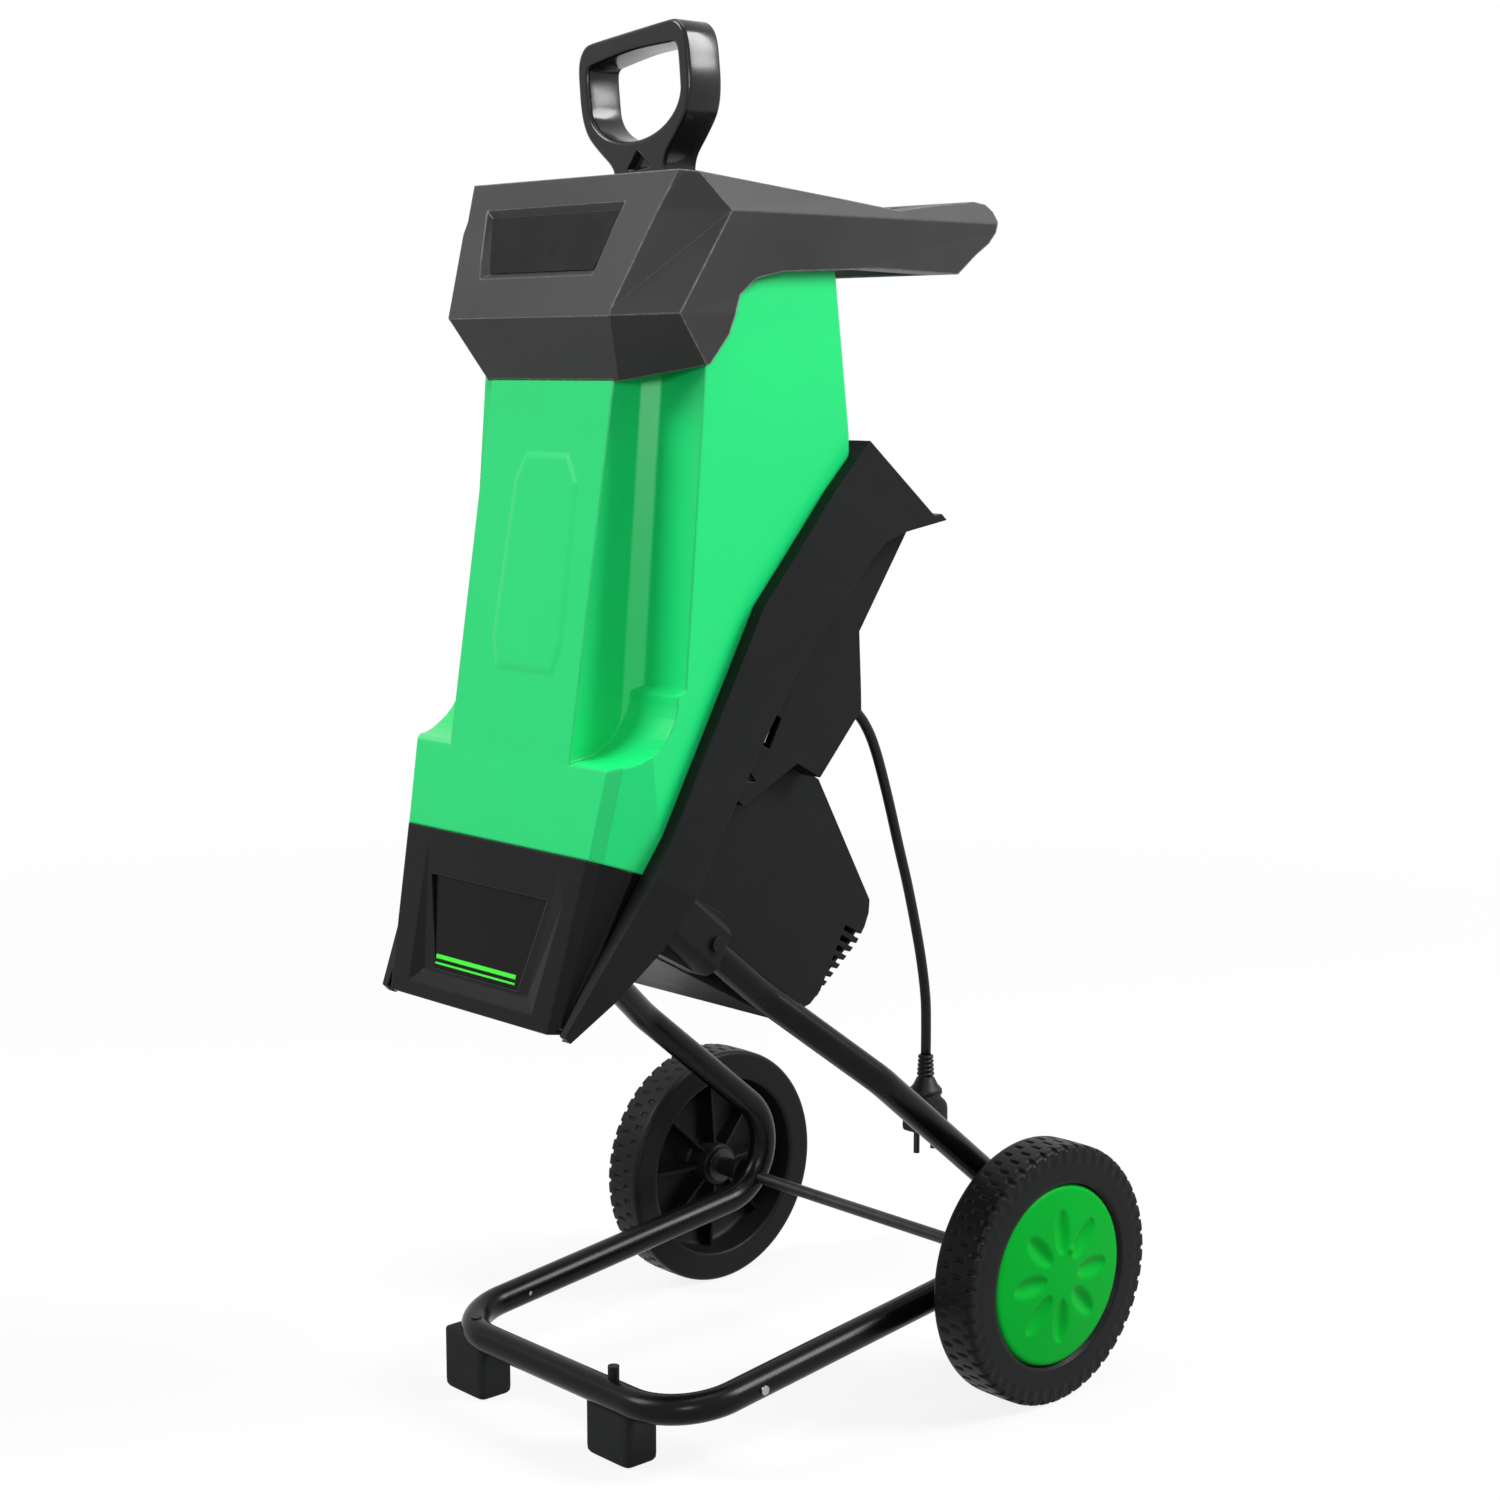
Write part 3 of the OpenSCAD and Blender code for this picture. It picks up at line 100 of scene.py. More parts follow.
def inside_band(distance: np.ndarray, half: float, soft: float) -> np.ndarray:
    """1 where a distance is under a half width, falling to 0 over a soft edge.

    Args:
        distance: Signed distances from the band's middle.
        half: Half of the band's width.
        soft: Width of the edge over which it fades.

    Returns:
        Values from 0 to 1, by the smooth step of how far each point is inside.
    """
    return ease((half + soft / 2 - np.abs(distance)) / soft)


def unit(vectors: np.ndarray) -> np.ndarray:
    """Vectors divided by their own lengths, along the last axis."""
    return vectors / np.linalg.norm(vectors, axis=-1, keepdims=True)


def full_turn(count: int) -> np.ndarray:
    """Angles in radians, evenly spaced round one turn from 0."""
    return np.linspace(0, 2 * math.pi, count, endpoint=False)


def resample(points: np.ndarray, step: float) -> np.ndarray:
    """Points along a polyline at an even distance, which keeps its corners.

    Args:
        points: Corners of the line, one a row.
        step: Longest distance between two points.

    Returns:
        The corners with evenly spaced points between each pair.
    """
    pieces = []
    for start, end in zip(points[:-1], points[1:]):
        count = max(1, int(math.ceil(np.linalg.norm(end - start) / step)))
        t = np.linspace(0.0, 1.0, count, endpoint=False)[:, None]
        pieces.append(start + (end - start) * t)
    return np.vstack(pieces + [points[-1:]])


def smooth_line(points: np.ndarray, steps: int) -> np.ndarray:
    """Catmull-Rom curve through points.

    Each stretch is the cubic through its two ends whose slopes there are half of the vector
    between the neighbours of each end.

    Args:
        points: Points that the curve runs through, one a row.
        steps: Stretches into which each gap is cut.

    Returns:
        Points along the curve, the given ones among them.
    """
    padded = np.vstack([2 * points[0] - points[1], points, 2 * points[-1] - points[-2]])
    t = np.linspace(0.0, 1.0, steps, endpoint=False)[None, :, None]
    before, start, end, after = (padded[k : len(padded) - 3 + k, None] for k in range(4))
    curve = start + 0.5 * t * (
        end - before
        + t * (2 * before - 5 * start + 4 * end - after + t * (3 * (start - end) + after - before))
    )
    return np.vstack([curve.reshape(-1, points.shape[1]), points[-1:]])


class Surface:
    """Makes mesh objects from grids of points."""

    @staticmethod
    def from_grid(
        name: str, points: np.ndarray, around_rows: bool = False, around_columns: bool = True,
        closed_ends: bool = False,
    ) -> bpy.types.Object:
        """Mesh of a grid in which each cell of four neighbours is one face.

        Args:
            name: Name of the piece.
            points: Array of rows, columns and three coordinates, in metres.
            around_rows: Whether the last row joins the first.
            around_columns: Whether the last column joins the first.
            closed_ends: Whether a face closes the first and the last row.

        Returns:
            The new object, at the origin.
        """
        rows, columns = points.shape[:2]
        index = np.arange(rows * columns).reshape(rows, columns)
        down = np.roll(index, -1, axis=0) if around_rows else index[1:]
        here = index if around_rows else index[:-1]
        if around_columns:
            faces = np.stack([here, np.roll(here, -1, 1), np.roll(down, -1, 1), down], axis=-1)
        else:
            faces = np.stack([here[:, :-1], here[:, 1:], down[:, 1:], down[:, :-1]], axis=-1)
        listed = [tuple(face) for face in faces.reshape(-1, 4).tolist()]
        if closed_ends:
            listed += [tuple(index[0][::-1].tolist()), tuple(index[-1].tolist())]
        return Surface.from_faces(name, points.reshape(-1, 3), listed)

    @staticmethod
    def from_faces(
        name: str, points: np.ndarray, faces: list[tuple[int, ...]], flat: bool = False
    ) -> bpy.types.Object:
        """Mesh object of points and faces, whose faces are turned outwards.

        Args:
            name: Name of the piece.
            points: Points, one a row, in metres.
            faces: Corner indices of each face.
            flat: Whether faces keep their flat shading.

        Returns:
            The new object, at the origin.
        """
        mesh = bpy.data.meshes.new(name)
        mesh.from_pydata(points.tolist(), [], faces)
        mesh.validate()
        Surface.turn_outwards(mesh)
        if not flat:
            mesh.polygons.foreach_set("use_smooth", np.ones(len(mesh.polygons), dtype=bool))
        mesh.update()
        piece = bpy.data.objects.new(name, mesh)
        bpy.context.scene.collection.objects.link(piece)
        return piece

    @staticmethod
    def turn_outwards(mesh: bpy.types.Mesh) -> None:
        """Flips all faces of a closed mesh if its signed volume is negative.

        The volume is the sum over triangles of one sixth of corner a . (b x c).

        Args:
            mesh: A mesh whose faces all turn the same way.
        """
        mesh.calc_loop_triangles()
        corners = np.empty(len(mesh.loop_triangles) * 3, dtype=np.int32)
        mesh.loop_triangles.foreach_get("vertices", corners)
        places = np.empty(len(mesh.vertices) * 3)
        mesh.vertices.foreach_get("co", places)
        a, b, c = places.reshape(-1, 3)[corners.reshape(-1, 3)].transpose(1, 0, 2)
        if np.einsum("ij,ij->", a, np.cross(b, c)) < 0:
            mesh.flip_normals()


def revolved(profile: np.ndarray, angles: np.ndarray) -> np.ndarray:
    """Surface of revolution about the X axis.

    Args:
        profile: Rows of place along the axis and radius.
        angles: Angles about the axis, in radians.

    Returns:
        A grid whose row is a profile point and whose column is an angle: X is the place along
        the axis, and Y and Z are the radius times the angle's cosine and sine.
    """
    along, radius = profile[:, :1], profile[:, 1:]
    return np.stack(
        [along + 0 * angles, radius * np.cos(angles), radius * np.sin(angles)], axis=-1
    )


def tube(path: np.ndarray, radius: float, sides: int) -> np.ndarray:
    """Round tube carried along a path that stays near one plane of constant X.

    Args:
        path: Points of the centre line, one a row.
        radius: Radius of the tube.
        sides: Points round it.

    Returns:
        A grid whose row is a path point: path + r (cos a X + sin a (tangent x X)).
    """
    tangent = unit(np.gradient(path, axis=0))
    side = np.array([1.0, 0.0, 0.0])
    side = unit(side - (tangent @ side)[:, None] * tangent)
    over = np.cross(tangent, side)
    a = full_turn(sides)[None, :, None]
    return path[:, None] + radius * (np.cos(a) * side[:, None] + np.sin(a) * over[:, None])


def superellipses(
    a: np.ndarray, b: np.ndarray, power: np.ndarray | float, height: np.ndarray
) -> np.ndarray:
    """Closed sections |x/a|^n + |y/b|^n = 1, each at its own height.

    Args:
        a: Half widths along X, as a column.
        b: Half widths along Y, as a column.
        power: Power n of each section, or of all of them.
        height: Heights of the sections, as a column.

    Returns:
        A grid whose row is a section and whose column is an angle.
    """
    turn = full_turn(96)[None]
    cos, sin = np.cos(turn), np.sin(turn)
    x = a * np.sign(cos) * np.abs(cos) ** (2 / power)
    y = b * np.sign(sin) * np.abs(sin) ** (2 / power)
    return np.stack([x, y, height + 0 * x], axis=-1)


def cushion(half: Pair, edge: tuple[Pair, ...]) -> np.ndarray:
    """Block with rounded corners that stands on the level of its origin.

    Each section is a superellipse of power 9, whose half widths are the block's less the edge's
    measure at that height.

    Args:
        half: Half widths along X and Y, in metres.
        edge: Heights and how far the section closes in there, in millimetres.

    Returns:
        A grid whose row is a height.
    """
    rise, shrink = (np.array(edge) * MM).T[:, :, None]
    return superellipses(half[0] - shrink, half[1] - shrink, 9, rise)


# ---------------------------------------------------------------- finishes


class Graph:
    """Short ways to add and join a material's nodes."""

    def __init__(self, name: str) -> None:
        """Starts a material with one principled shader.

        Args:
            name: Name of the material.
        """
        self.material = bpy.data.materials.new(name)
        self.material.use_nodes = True
        self.nodes = self.material.node_tree.nodes
        self.links = self.material.node_tree.links
        self.shader = self.nodes["Principled BSDF"]
        self.place = self.nodes.new("ShaderNodeTexCoord").outputs["Object"]

    def add(self, kind: str, **settings: object) -> bpy.types.Node:
        """Adds a node and sets its properties.

        Args:
            kind: Type name of the node.
            **settings: Properties and their values.

        Returns:
            The node.
        """
        node = self.nodes.new(kind)
        for key, value in settings.items():
            setattr(node, key, value)
        return node

    def join(self, source: Socket, node: bpy.types.Node, key: str | int) -> None:
        """Links a socket to an input of a node, by the input's name or number."""
        self.links.new(source, node.inputs[key])

    def noise(self, size: float, detail: float = 3.0, rough: float = 0.5) -> Socket:
        """Adds noise over the object's own places.

        Args:
            size: Rough size of its features, in metres.
            detail: Number of finer layers.
            rough: Share that each finer layer keeps.

        Returns:
            The noise, from 0 to 1.
        """
        node = self.add("ShaderNodeTexNoise")
        node.inputs["Scale"].default_value = 1.0 / size
        node.inputs["Detail"].default_value = detail
        node.inputs["Roughness"].default_value = rough
        self.join(self.place, node, "Vector")
        return node.outputs["Fac"]

    def spread(
        self, source: Socket, low: float, high: float, floor: float, top: float,
        way: str = "LINEAR",
    ) -> Socket:
        """Adds a value that runs from floor to top while the source runs from low to high.

        Args:
            source: The value that is read.
            low: Source value that gives floor.
            high: Source value that gives top.
            floor: First end of the result.
            top: Other end of the result.
            way: Shape of the run between the ends.

        Returns:
            The result.
        """
        node = self.add("ShaderNodeMapRange", interpolation_type=way)
        keys = ("From Min", "From Max", "To Min", "To Max")
        for key, value in zip(keys, (low, high, floor, top)):
            node.inputs[key].default_value = value
        self.join(source, node, "Value")
        return node.outputs["Result"]

    def mixed(self, share: Socket, first: Rgb | Socket, second: Rgb) -> Socket:
        """Adds a colour between two colours.

        Args:
            share: 0 for the first colour, 1 for the second.
            first: A colour, or the socket that gives it.
            second: A colour.

        Returns:
            The mixed colour.
        """
        node = self.add("ShaderNodeMix", data_type="RGBA")
        self.join(share, node, 0)
        if isinstance(first, Socket):
            self.join(first, node, 6)
        else:
            node.inputs[6].default_value = (*first, 1.0)
        node.inputs[7].default_value = (*second, 1.0)
        return node.outputs[2]

    def product(self, first: Socket, second: Socket) -> Socket:
        """Adds the product of two values.

        Args:
            first: One value.
            second: The other value.

        Returns:
            The product.
        """
        node = self.add("ShaderNodeMath", operation="MULTIPLY")
        self.join(first, node, 0)
        self.join(second, node, 1)
        return node.outputs[0]

    def bump(self, height: Socket, depth: float, normal: Socket | None) -> Socket:
        """Adds the normal of a raised surface.

        Args:
            height: Height, as a share from 0 to 1.
            depth: Rise at a full height, in metres.
            normal: Normal to start from, if there is one.

        Returns:
            The new normal.
        """
        node = self.add("ShaderNodeBump")
        node.inputs["Strength"].default_value = 1.0
        node.inputs["Distance"].default_value = depth
        self.join(height, node, "Height")
        if normal is not None:
            self.join(normal, node, "Normal")
        return node.outputs["Normal"]

    def rounded(self, radius: float) -> Socket:
        """Adds a normal that rounds sharp edges.

        Args:
            radius: Radius of the rounding, in metres.

        Returns:
            The normal.
        """
        node = self.add("ShaderNodeBevel", samples=8)
        node.inputs["Radius"].default_value = radius
        return node.outputs["Normal"]

    def edge_mask(self, rounded: Socket) -> Socket:
        """Adds a value near 1 at edges, from how far the rounded normal leaves the true one.

        Args:
            rounded: The rounded normal.

        Returns:
            0 where the cosine between the two is over 0.98, rising to 1 at 0.9.
        """
        true = self.add("ShaderNodeNewGeometry").outputs["True Normal"]
        dot = self.add("ShaderNodeVectorMath", operation="DOT_PRODUCT")
        self.join(rounded, dot, 0)
        self.join(true, dot, 1)
        return self.spread(dot.outputs["Value"], 0.98, 0.9, 0.0, 1.0)


@dataclass(frozen=True)
class Finish:
    """One surface finish: its colour, sheen, grain, worn edges and a painted edge highlight.

    Attributes:
        name: Name of the material.
        colour: Linear base colour.
        roughness: Middle roughness.
        metallic: 1 for bare metal.
        coat: Weight of a clear gloss coat.
        specular: Level of the reflection.
        ior: Index of refraction, low for plastics that hardly shine at a slant.
        tone_and_sheen_mottle: Share by which the colour darkens and lightens in wide soft patches,
            a random tone; on the collar, housing and shroud these strong patches also stand in for
            uneven sheen, a painted sheen.
        mottle_size: Size of those patches in metres.
        grain: Size of the moulded grain in metres.
        grain_depth: Depth of the grain in metres.
        sheen_spread: Amount by which the roughness varies.
        edge: Radius over which sharp edges are rounded, or 0.
        edge_wear_and_highlight: Share by which edges show a lighter colour, in noisy worn scuffs
            over a painted highlight line that runs along every edge.
        edge_wear_and_highlight_colour: Colour of the worn scuffs and of the painted edge highlight.
        brushed: Scale of the pattern along X, under 1 for brushed metal.
    """

    name: str
    colour: Rgb
    roughness: float = 0.45
    metallic: float = 0.0
    coat: float = 0.0
    specular: float = 0.5
    ior: float = 1.5
    tone_and_sheen_mottle: float = 0.06
    mottle_size: float = 0.08
    grain: float = 0.0006
    grain_depth: float = 0.00003
    sheen_spread: float = 0.025
    edge: float = 0.0012
    edge_wear_and_highlight: float = 0.0
    edge_wear_and_highlight_colour: Rgb = (0.2, 0.2, 0.2)
    brushed: float = 1.0

    def material(self) -> bpy.types.Material:
        """Builds the node material.

        Returns:
            A material whose colour, roughness and bump all read Object coordinates.
        """
        g = Graph(self.name)
        shader = g.shader.inputs
        shader["Metallic"].default_value = self.metallic
        shader["Coat Weight"].default_value = self.coat
        shader["Coat Roughness"].default_value = COAT_ROUGHNESS
        shader["Specular IOR Level"].default_value = self.specular
        shader["IOR"].default_value = self.ior
        if self.brushed != 1.0:
            stretch = g.add("ShaderNodeMapping")
            stretch.inputs["Scale"].default_value = (self.brushed, 1.0, 1.0)
            g.join(g.place, stretch, "Vector")
            g.place = stretch.outputs["Vector"]
        # Wide soft colour patches: random tone, and where they are strong a painted uneven sheen.
        tone_and_sheen_patches = g.spread(g.noise(self.mottle_size), NOISE_LOW, NOISE_HIGH, 0.0, 1.0)
        dark = tuple(c * (1.0 - self.tone_and_sheen_mottle) for c in self.colour)
        light = tuple(min(1.0, c * (1.0 + self.tone_and_sheen_mottle)) for c in self.colour)
        colour = g.mixed(tone_and_sheen_patches, dark, light)
        normal = g.rounded(self.edge) if self.edge else None
        # Lighter edges: noisy worn scuffs over a floor of 0.45 of the share, which is a painted
        # highlight line along every edge.
        if self.edge_wear_and_highlight and normal is not None:
            scuffs = g.noise(SCUFF_SIZE, detail=6.0, rough=0.7)
            scuffs_over_painted_highlight = g.spread(scuffs, 0.48, 0.7, 0.45 * self.edge_wear_and_highlight, self.edge_wear_and_highlight)
            colour = g.mixed(g.product(g.edge_mask(normal), scuffs_over_painted_highlight), colour, self.edge_wear_and_highlight_colour)
        g.join(colour, g.shader, "Base Color")
        rough = g.spread(
            g.noise(self.mottle_size / 4, detail=4.0), NOISE_LOW, NOISE_HIGH,
            self.roughness - self.sheen_spread, self.roughness + self.sheen_spread,
        )
        g.join(rough, g.shader, "Roughness")
        grain = g.noise(self.grain, detail=2.0)
        g.join(g.bump(grain, self.grain_depth, normal), g.shader, "Normal")
        return g.material


class Dress(Enum):
    """The shredder's finishes."""

    TUBE = Finish("gloss_black_enamel", srgb(10, 10, 11), 0.26, ior=1.22,
                  grain=0.006, grain_depth=0.000005, edge=0.0, tone_and_sheen_mottle=0.1, sheen_spread=0.02)
    # Strong wide colour patches: random tone and painted uneven sheen.
    HOUSING = Finish("satin_black_housing", srgb(21, 22, 23), 0.42, ior=1.2, tone_and_sheen_mottle=0.12,
                     grain_depth=0.00004)
    SHELL = Finish("green_hopper_shell", srgb(26, 216, 118), 0.3, grain=0.0012,
                   grain_depth=0.00001, tone_and_sheen_mottle=0.02, mottle_size=0.16, edge=0.0028, specular=0.3,
                   sheen_spread=0.015)
    # Strong wide colour patches: random tone and painted uneven sheen.
    COLLAR = Finish("grained_black_collar", srgb(57, 57, 57), 0.4, ior=1.2, tone_and_sheen_mottle=0.14,
                    # Collar edges: worn scuffs over a painted highlight line.
                    mottle_size=0.12, grain_depth=0.00006, edge=0.0026, edge_wear_and_highlight=1.0,
                    edge_wear_and_highlight_colour=srgb(176, 176, 174))
    # Strong wide colour patches: random tone and painted uneven sheen.
    SHROUD = Finish("grained_black_shroud", srgb(15, 16, 17), 0.36, ior=1.2, tone_and_sheen_mottle=0.12,
                    # Shroud edges: worn scuffs over a faint painted highlight line.
                    grain_depth=0.00005, edge=0.0022, edge_wear_and_highlight=0.25, edge_wear_and_highlight_colour=srgb(90, 90, 90))
    WHEEL = Finish("moulded_black_tyre", srgb(18, 19, 20), 0.42, ior=1.2,
                   grain_depth=0.00005, edge=0.0)
    CAP = Finish("green_hub_cap", srgb(4, 170, 48), 0.4, specular=0.05, grain=0.001,
                 grain_depth=0.00001, edge=0.0, tone_and_sheen_mottle=0.05)
    FOOT = Finish("matt_foot_rubber", srgb(34, 35, 36), 0.75, ior=1.2, grain=0.001,
                  grain_depth=0.0001, edge=0.003)
    GRIP = Finish("semigloss_black_grip", srgb(24, 24, 25), 0.2, coat=0.15, ior=1.3,
                  grain_depth=0.00002, edge=0.0)
    ZINC = Finish("zinc_plate", srgb(165, 165, 170), 0.34, metallic=1.0, edge=0.0006,
                  tone_and_sheen_mottle=0.15, mottle_size=0.006)
    DARK_STEEL = Finish("oxide_dark_steel", srgb(52, 52, 54), 0.42, metallic=0.8, edge=0.0006,
                        tone_and_sheen_mottle=0.15, mottle_size=0.01)
    BLADE = Finish("ground_blade_steel", srgb(132, 134, 138), 0.36, metallic=1.0, edge=0.0004,
                   grain=0.0008, grain_depth=0.00002, brushed=0.05)
    MOTOR = Finish("cast_motor_metal", srgb(150, 151, 154), 0.5, metallic=0.9, edge=0.001,
                   grain=0.0015, grain_depth=0.00008)
    CORD = Finish("satin_cord_rubber", srgb(18, 18, 19), 0.45, specular=0.18, grain=0.0008,
                  edge=0.0)
    BADGE = Finish("bare_black_panel", srgb(8, 8, 9), 0.25, specular=0.1, grain_depth=0.00002,
                   edge=0.0006)
    STRIPE = Finish("bright_green_stripe", srgb(60, 255, 44), 0.4, edge=0.0, tone_and_sheen_mottle=0.1,
                    mottle_size=0.02)
    GREEN_SWITCH = Finish("green_button", srgb(20, 150, 50), 0.35, edge=0.001)
    RED_SWITCH = Finish("red_button", srgb(190, 24, 20), 0.35, edge=0.001)
    INNER = Finish("plain_inner_plastic", srgb(60, 60, 62), 0.55, edge=0.001)


class Wardrobe:
    """Keeps one built material for each finish and puts it on pieces."""

    def __init__(self) -> None:
        """Starts with nothing built."""
        self.built: dict[Dress, bpy.types.Material] = {}

    def material(self, dress: Dress) -> bpy.types.Material:
        """Gives the material of a finish, built when first asked for.

        Args:
            dress: The finish.

        Returns:
            Its material.
        """
        if dress not in self.built:
            self.built[dress] = dress.value.material()
        return self.built[dress]

    def put_on(self, piece: bpy.types.Object, dress: Dress) -> None:
        """Puts a finish on every material slot of a piece.

        Args:
            piece: A new piece or a CAD node's object.
            dress: The finish.
        """
        if not piece.material_slots:
            piece.data.materials.append(self.material(dress))
        for slot in piece.material_slots:
            slot.material = self.material(dress)


# ---------------------------------------------------------------- sub-assemblies


@dataclass
class Assembly:
    """What every sub-assembly shares.

    Attributes:
        wardrobe: Finishes of the whole object.
    """

    wardrobe: Wardrobe

    def settle(
        self, piece: bpy.types.Object, body: str, dress: Dress, slot: str,
        replaces: tuple[str, ...] = (),
    ) -> None:
        """Dresses a piece and makes it ride on its body.

        Args:
            piece: The new piece.
            body: Name of the body that it moves with.
            dress: Its finish.
            slot: The record's material slot; not used.
            replaces: CAD nodes that it stands for.
        """
        self.wardrobe.put_on(piece, dress)
        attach(piece, body)
        if replaces:
            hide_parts(*replaces)
        LOG.info("%s rides on %s, %d faces", piece.name, body, len(piece.data.polygons))


@dataclass
class Wheel(Assembly):
    """One plastic wheel: tread, sidewalls, open dish, hub, ribs and cap.

    Attributes:
        side: +1 for the wheel at positive X, -1 for the other.
        inner_face: Distance from the mid-plane to the wheel's inner face.
        width: Width over the tread.
        radius: Radius over the tread.
        cap_radius: Radius of the hub cap.
        hub_radius: Radius of the hub boss.
        bore: Radius of the hole for the axle.
        web_inner: Distance from the inner face to the web's near side.
        web_outer: Distance from the inner face to the web's far side.
        hub_inner: Distance from the inner face to the hub's end.
        dish_radius: Radius of the open dish.
        shoulder: Radius of the tread's rounded shoulders.
        lug_cut: Depth of the gaps between the outer shoulder's lugs.
        slot_cut: Depth of the tread's short slots.
        rib_cut: Half of the height of the outer sidewall's ribs.
        dome: Height of the cap's middle over its seat.
        petal_depth: Depth of the cap's dimples.
        centre: Place of the axle in Y and Z.
        lugs: Tread pitches round the wheel.
        columns: Shares of a pitch at which the tread's points lie.
    """

    side: int = 1
    inner_face: float = 169.6 * MM
    width: float = 38.2 * MM
    radius: float = 100 * MM
    cap_radius: float = 69.5 * MM
    hub_radius: float = 18 * MM
    bore: float = 5.06 * MM
    web_inner: float = 28.2 * MM
    web_outer: float = 32.2 * MM
    hub_inner: float = 6 * MM
    dish_radius: float = 75.5 * MM
    shoulder: float = 4 * MM
    lug_cut: float = 2.1 * MM
    slot_cut: float = 1.5 * MM
    rib_cut: float = 0.2 * MM
    dome: float = 8.5 * MM
    petal_depth: float = 3.4 * MM
    centre: Pair = (AXLE_Y, 100 * MM)
    lugs: int = 50
    columns: tuple[float, ...] = (0, 0.1, 0.13, 0.17, 0.2, 0.3, 0.36, 0.4, 0.5, 0.6, 0.64, 0.7,
                                  0.8, 0.83, 0.87, 0.9)

    @property
    def name(self) -> str:
        """Which wheel it is."""
        return "right" if self.side > 0 else "left"

    def build(self) -> None:
        """Makes the wheel's pieces and dresses them."""
        body = f"{self.name}_wheel"
        tyre = Surface.from_grid(f"{body}_moulding", self.placed(self.tyre()), around_rows=True)
        self.settle(tyre, body, Dress.WHEEL, "wheel_black", (body,))
        self.settle(self.ribs(), body, Dress.WHEEL, "wheel_black")
        cap = Surface.from_grid(f"{self.name}_domed_cap", self.placed(self.cap()), closed_ends=True)
        self.settle(cap, body, Dress.CAP, "cap_green", (f"{self.name}_hub_cap",))

    def placed(self, points: np.ndarray) -> np.ndarray:
        """Moves points from the wheel's own axes to the part's.

        Args:
            points: Places out from the inner face, and Y and Z from the axle.

        Returns:
            The points in the part's frame.
        """
        moved = points.copy()
        moved[..., 0] = self.side * (points[..., 0] + self.inner_face)
        moved[..., 1] += self.centre[0]
        moved[..., 2] += self.centre[1]
        return moved

    def outline(self) -> np.ndarray:
        """Closed section of the moulding, as rows of place along the axis and radius.

        The tread crowns by 0.4 mm, the shoulders are quarter rounds, and the section runs on over
        the outer sidewall, the cap's seat, the bore and the open dish.

        Returns:
            Points about a millimetre apart over the tread and wider elsewhere.
        """
        turn = np.radians(np.linspace(0, 90, 7))
        shoulder, crowning, drop = self.shoulder, 0.4 * MM, 0.3 * MM
        lip = self.cap_radius + 1.2 * MM
        crown = resample(np.array([[shoulder, 0.0], [self.width - shoulder, 0.0]]), 0.9 * MM)
        bow = ((crown[:, 0] - self.width / 2) / (self.width / 2)) ** 2
        crown[:, 1] = self.radius - crowning * bow
        top = self.radius - drop - shoulder
        outer = np.stack([self.width - shoulder + shoulder * np.sin(turn),
                          top + shoulder * np.cos(turn)], axis=1)
        inner = np.stack([shoulder - shoulder * np.cos(turn),
                          top + shoulder * np.sin(turn)], axis=1)
        outer_side = resample(np.array([outer[-1], [self.width, lip + 1 * MM]]), 1.6 * MM)
        inner_side = resample(np.array([[0.0, self.dish_radius + 3 * MM], inner[0]]), 3 * MM)
        hub, dish, near, far = self.hub_radius, self.dish_radius, self.web_inner, self.web_outer
        end = self.hub_inner
        inside = np.array([
            [self.width - 0.6 * MM, lip], [far, lip], [far, lip - 1 * MM], [far, hub],
            [far, self.bore], [end, self.bore], [end, hub - 1.5 * MM], [end + 1.5 * MM, hub],
            [near - 3 * MM, hub], [near, hub + 3 * MM], [near, dish - 4 * MM],
            [near - 4 * MM, dish], [2 * MM, dish], [0.6 * MM, dish + 0.8 * MM],
        ])
        return np.vstack([inner[1:-1], crown, outer[1:-1], outer_side[:-1], inside, inner_side])

    def tyre(self) -> np.ndarray:
        """Section turned about the axle, with slots, lug gaps and sidewall ribs cut in.

        With u the place in a pitch and x the place across the tread, the radius loses the lug
        cut in gaps between the outer shoulder's lugs and the slot cut in two staggered rows of
        short slots, and the outer sidewall moves in by the rib cut times 1 - cos(2 pi u).

        Returns:
            The grid of points.
        """
        pitch = 2 * math.pi / self.lugs
        u = np.tile(np.array(self.columns), self.lugs)
        angles = (np.repeat(np.arange(self.lugs), len(self.columns)) + u) * pitch
        section = self.outline()
        grid = revolved(section, angles[None, :])
        x, r = section[:, :1], section[:, 1:]
        near_gap = inside_band(np.minimum(u, 1 - u)[None], 0.15, 0.06)
        near_half = inside_band((u - 0.5)[None], 0.12, 0.06)
        tread = ease((r - (self.radius - 8 * MM)) / (3 * MM))
        cut = self.lug_cut * near_gap * inside_band(self.width - x, 7.4 * MM, 1.4 * MM)
        for place, half, band in ((23, 4.4, near_half), (11, 3.6, near_gap)):
            cut = cut + self.slot_cut * band * inside_band(x - place * MM, half * MM, 1.2 * MM)
        cut = cut * tread
        scale = 1 - cut / np.maximum(r, 1 * MM)
        grid[..., 1:] *= scale[..., None]
        wall = (x > self.width - 0.3 * MM) * inside_band(r - 93 * MM, 5 * MM, 3 * MM)
        grid[..., 0] -= self.rib_cut * wall * (1 - np.cos(2 * math.pi * u))[None]
        return grid

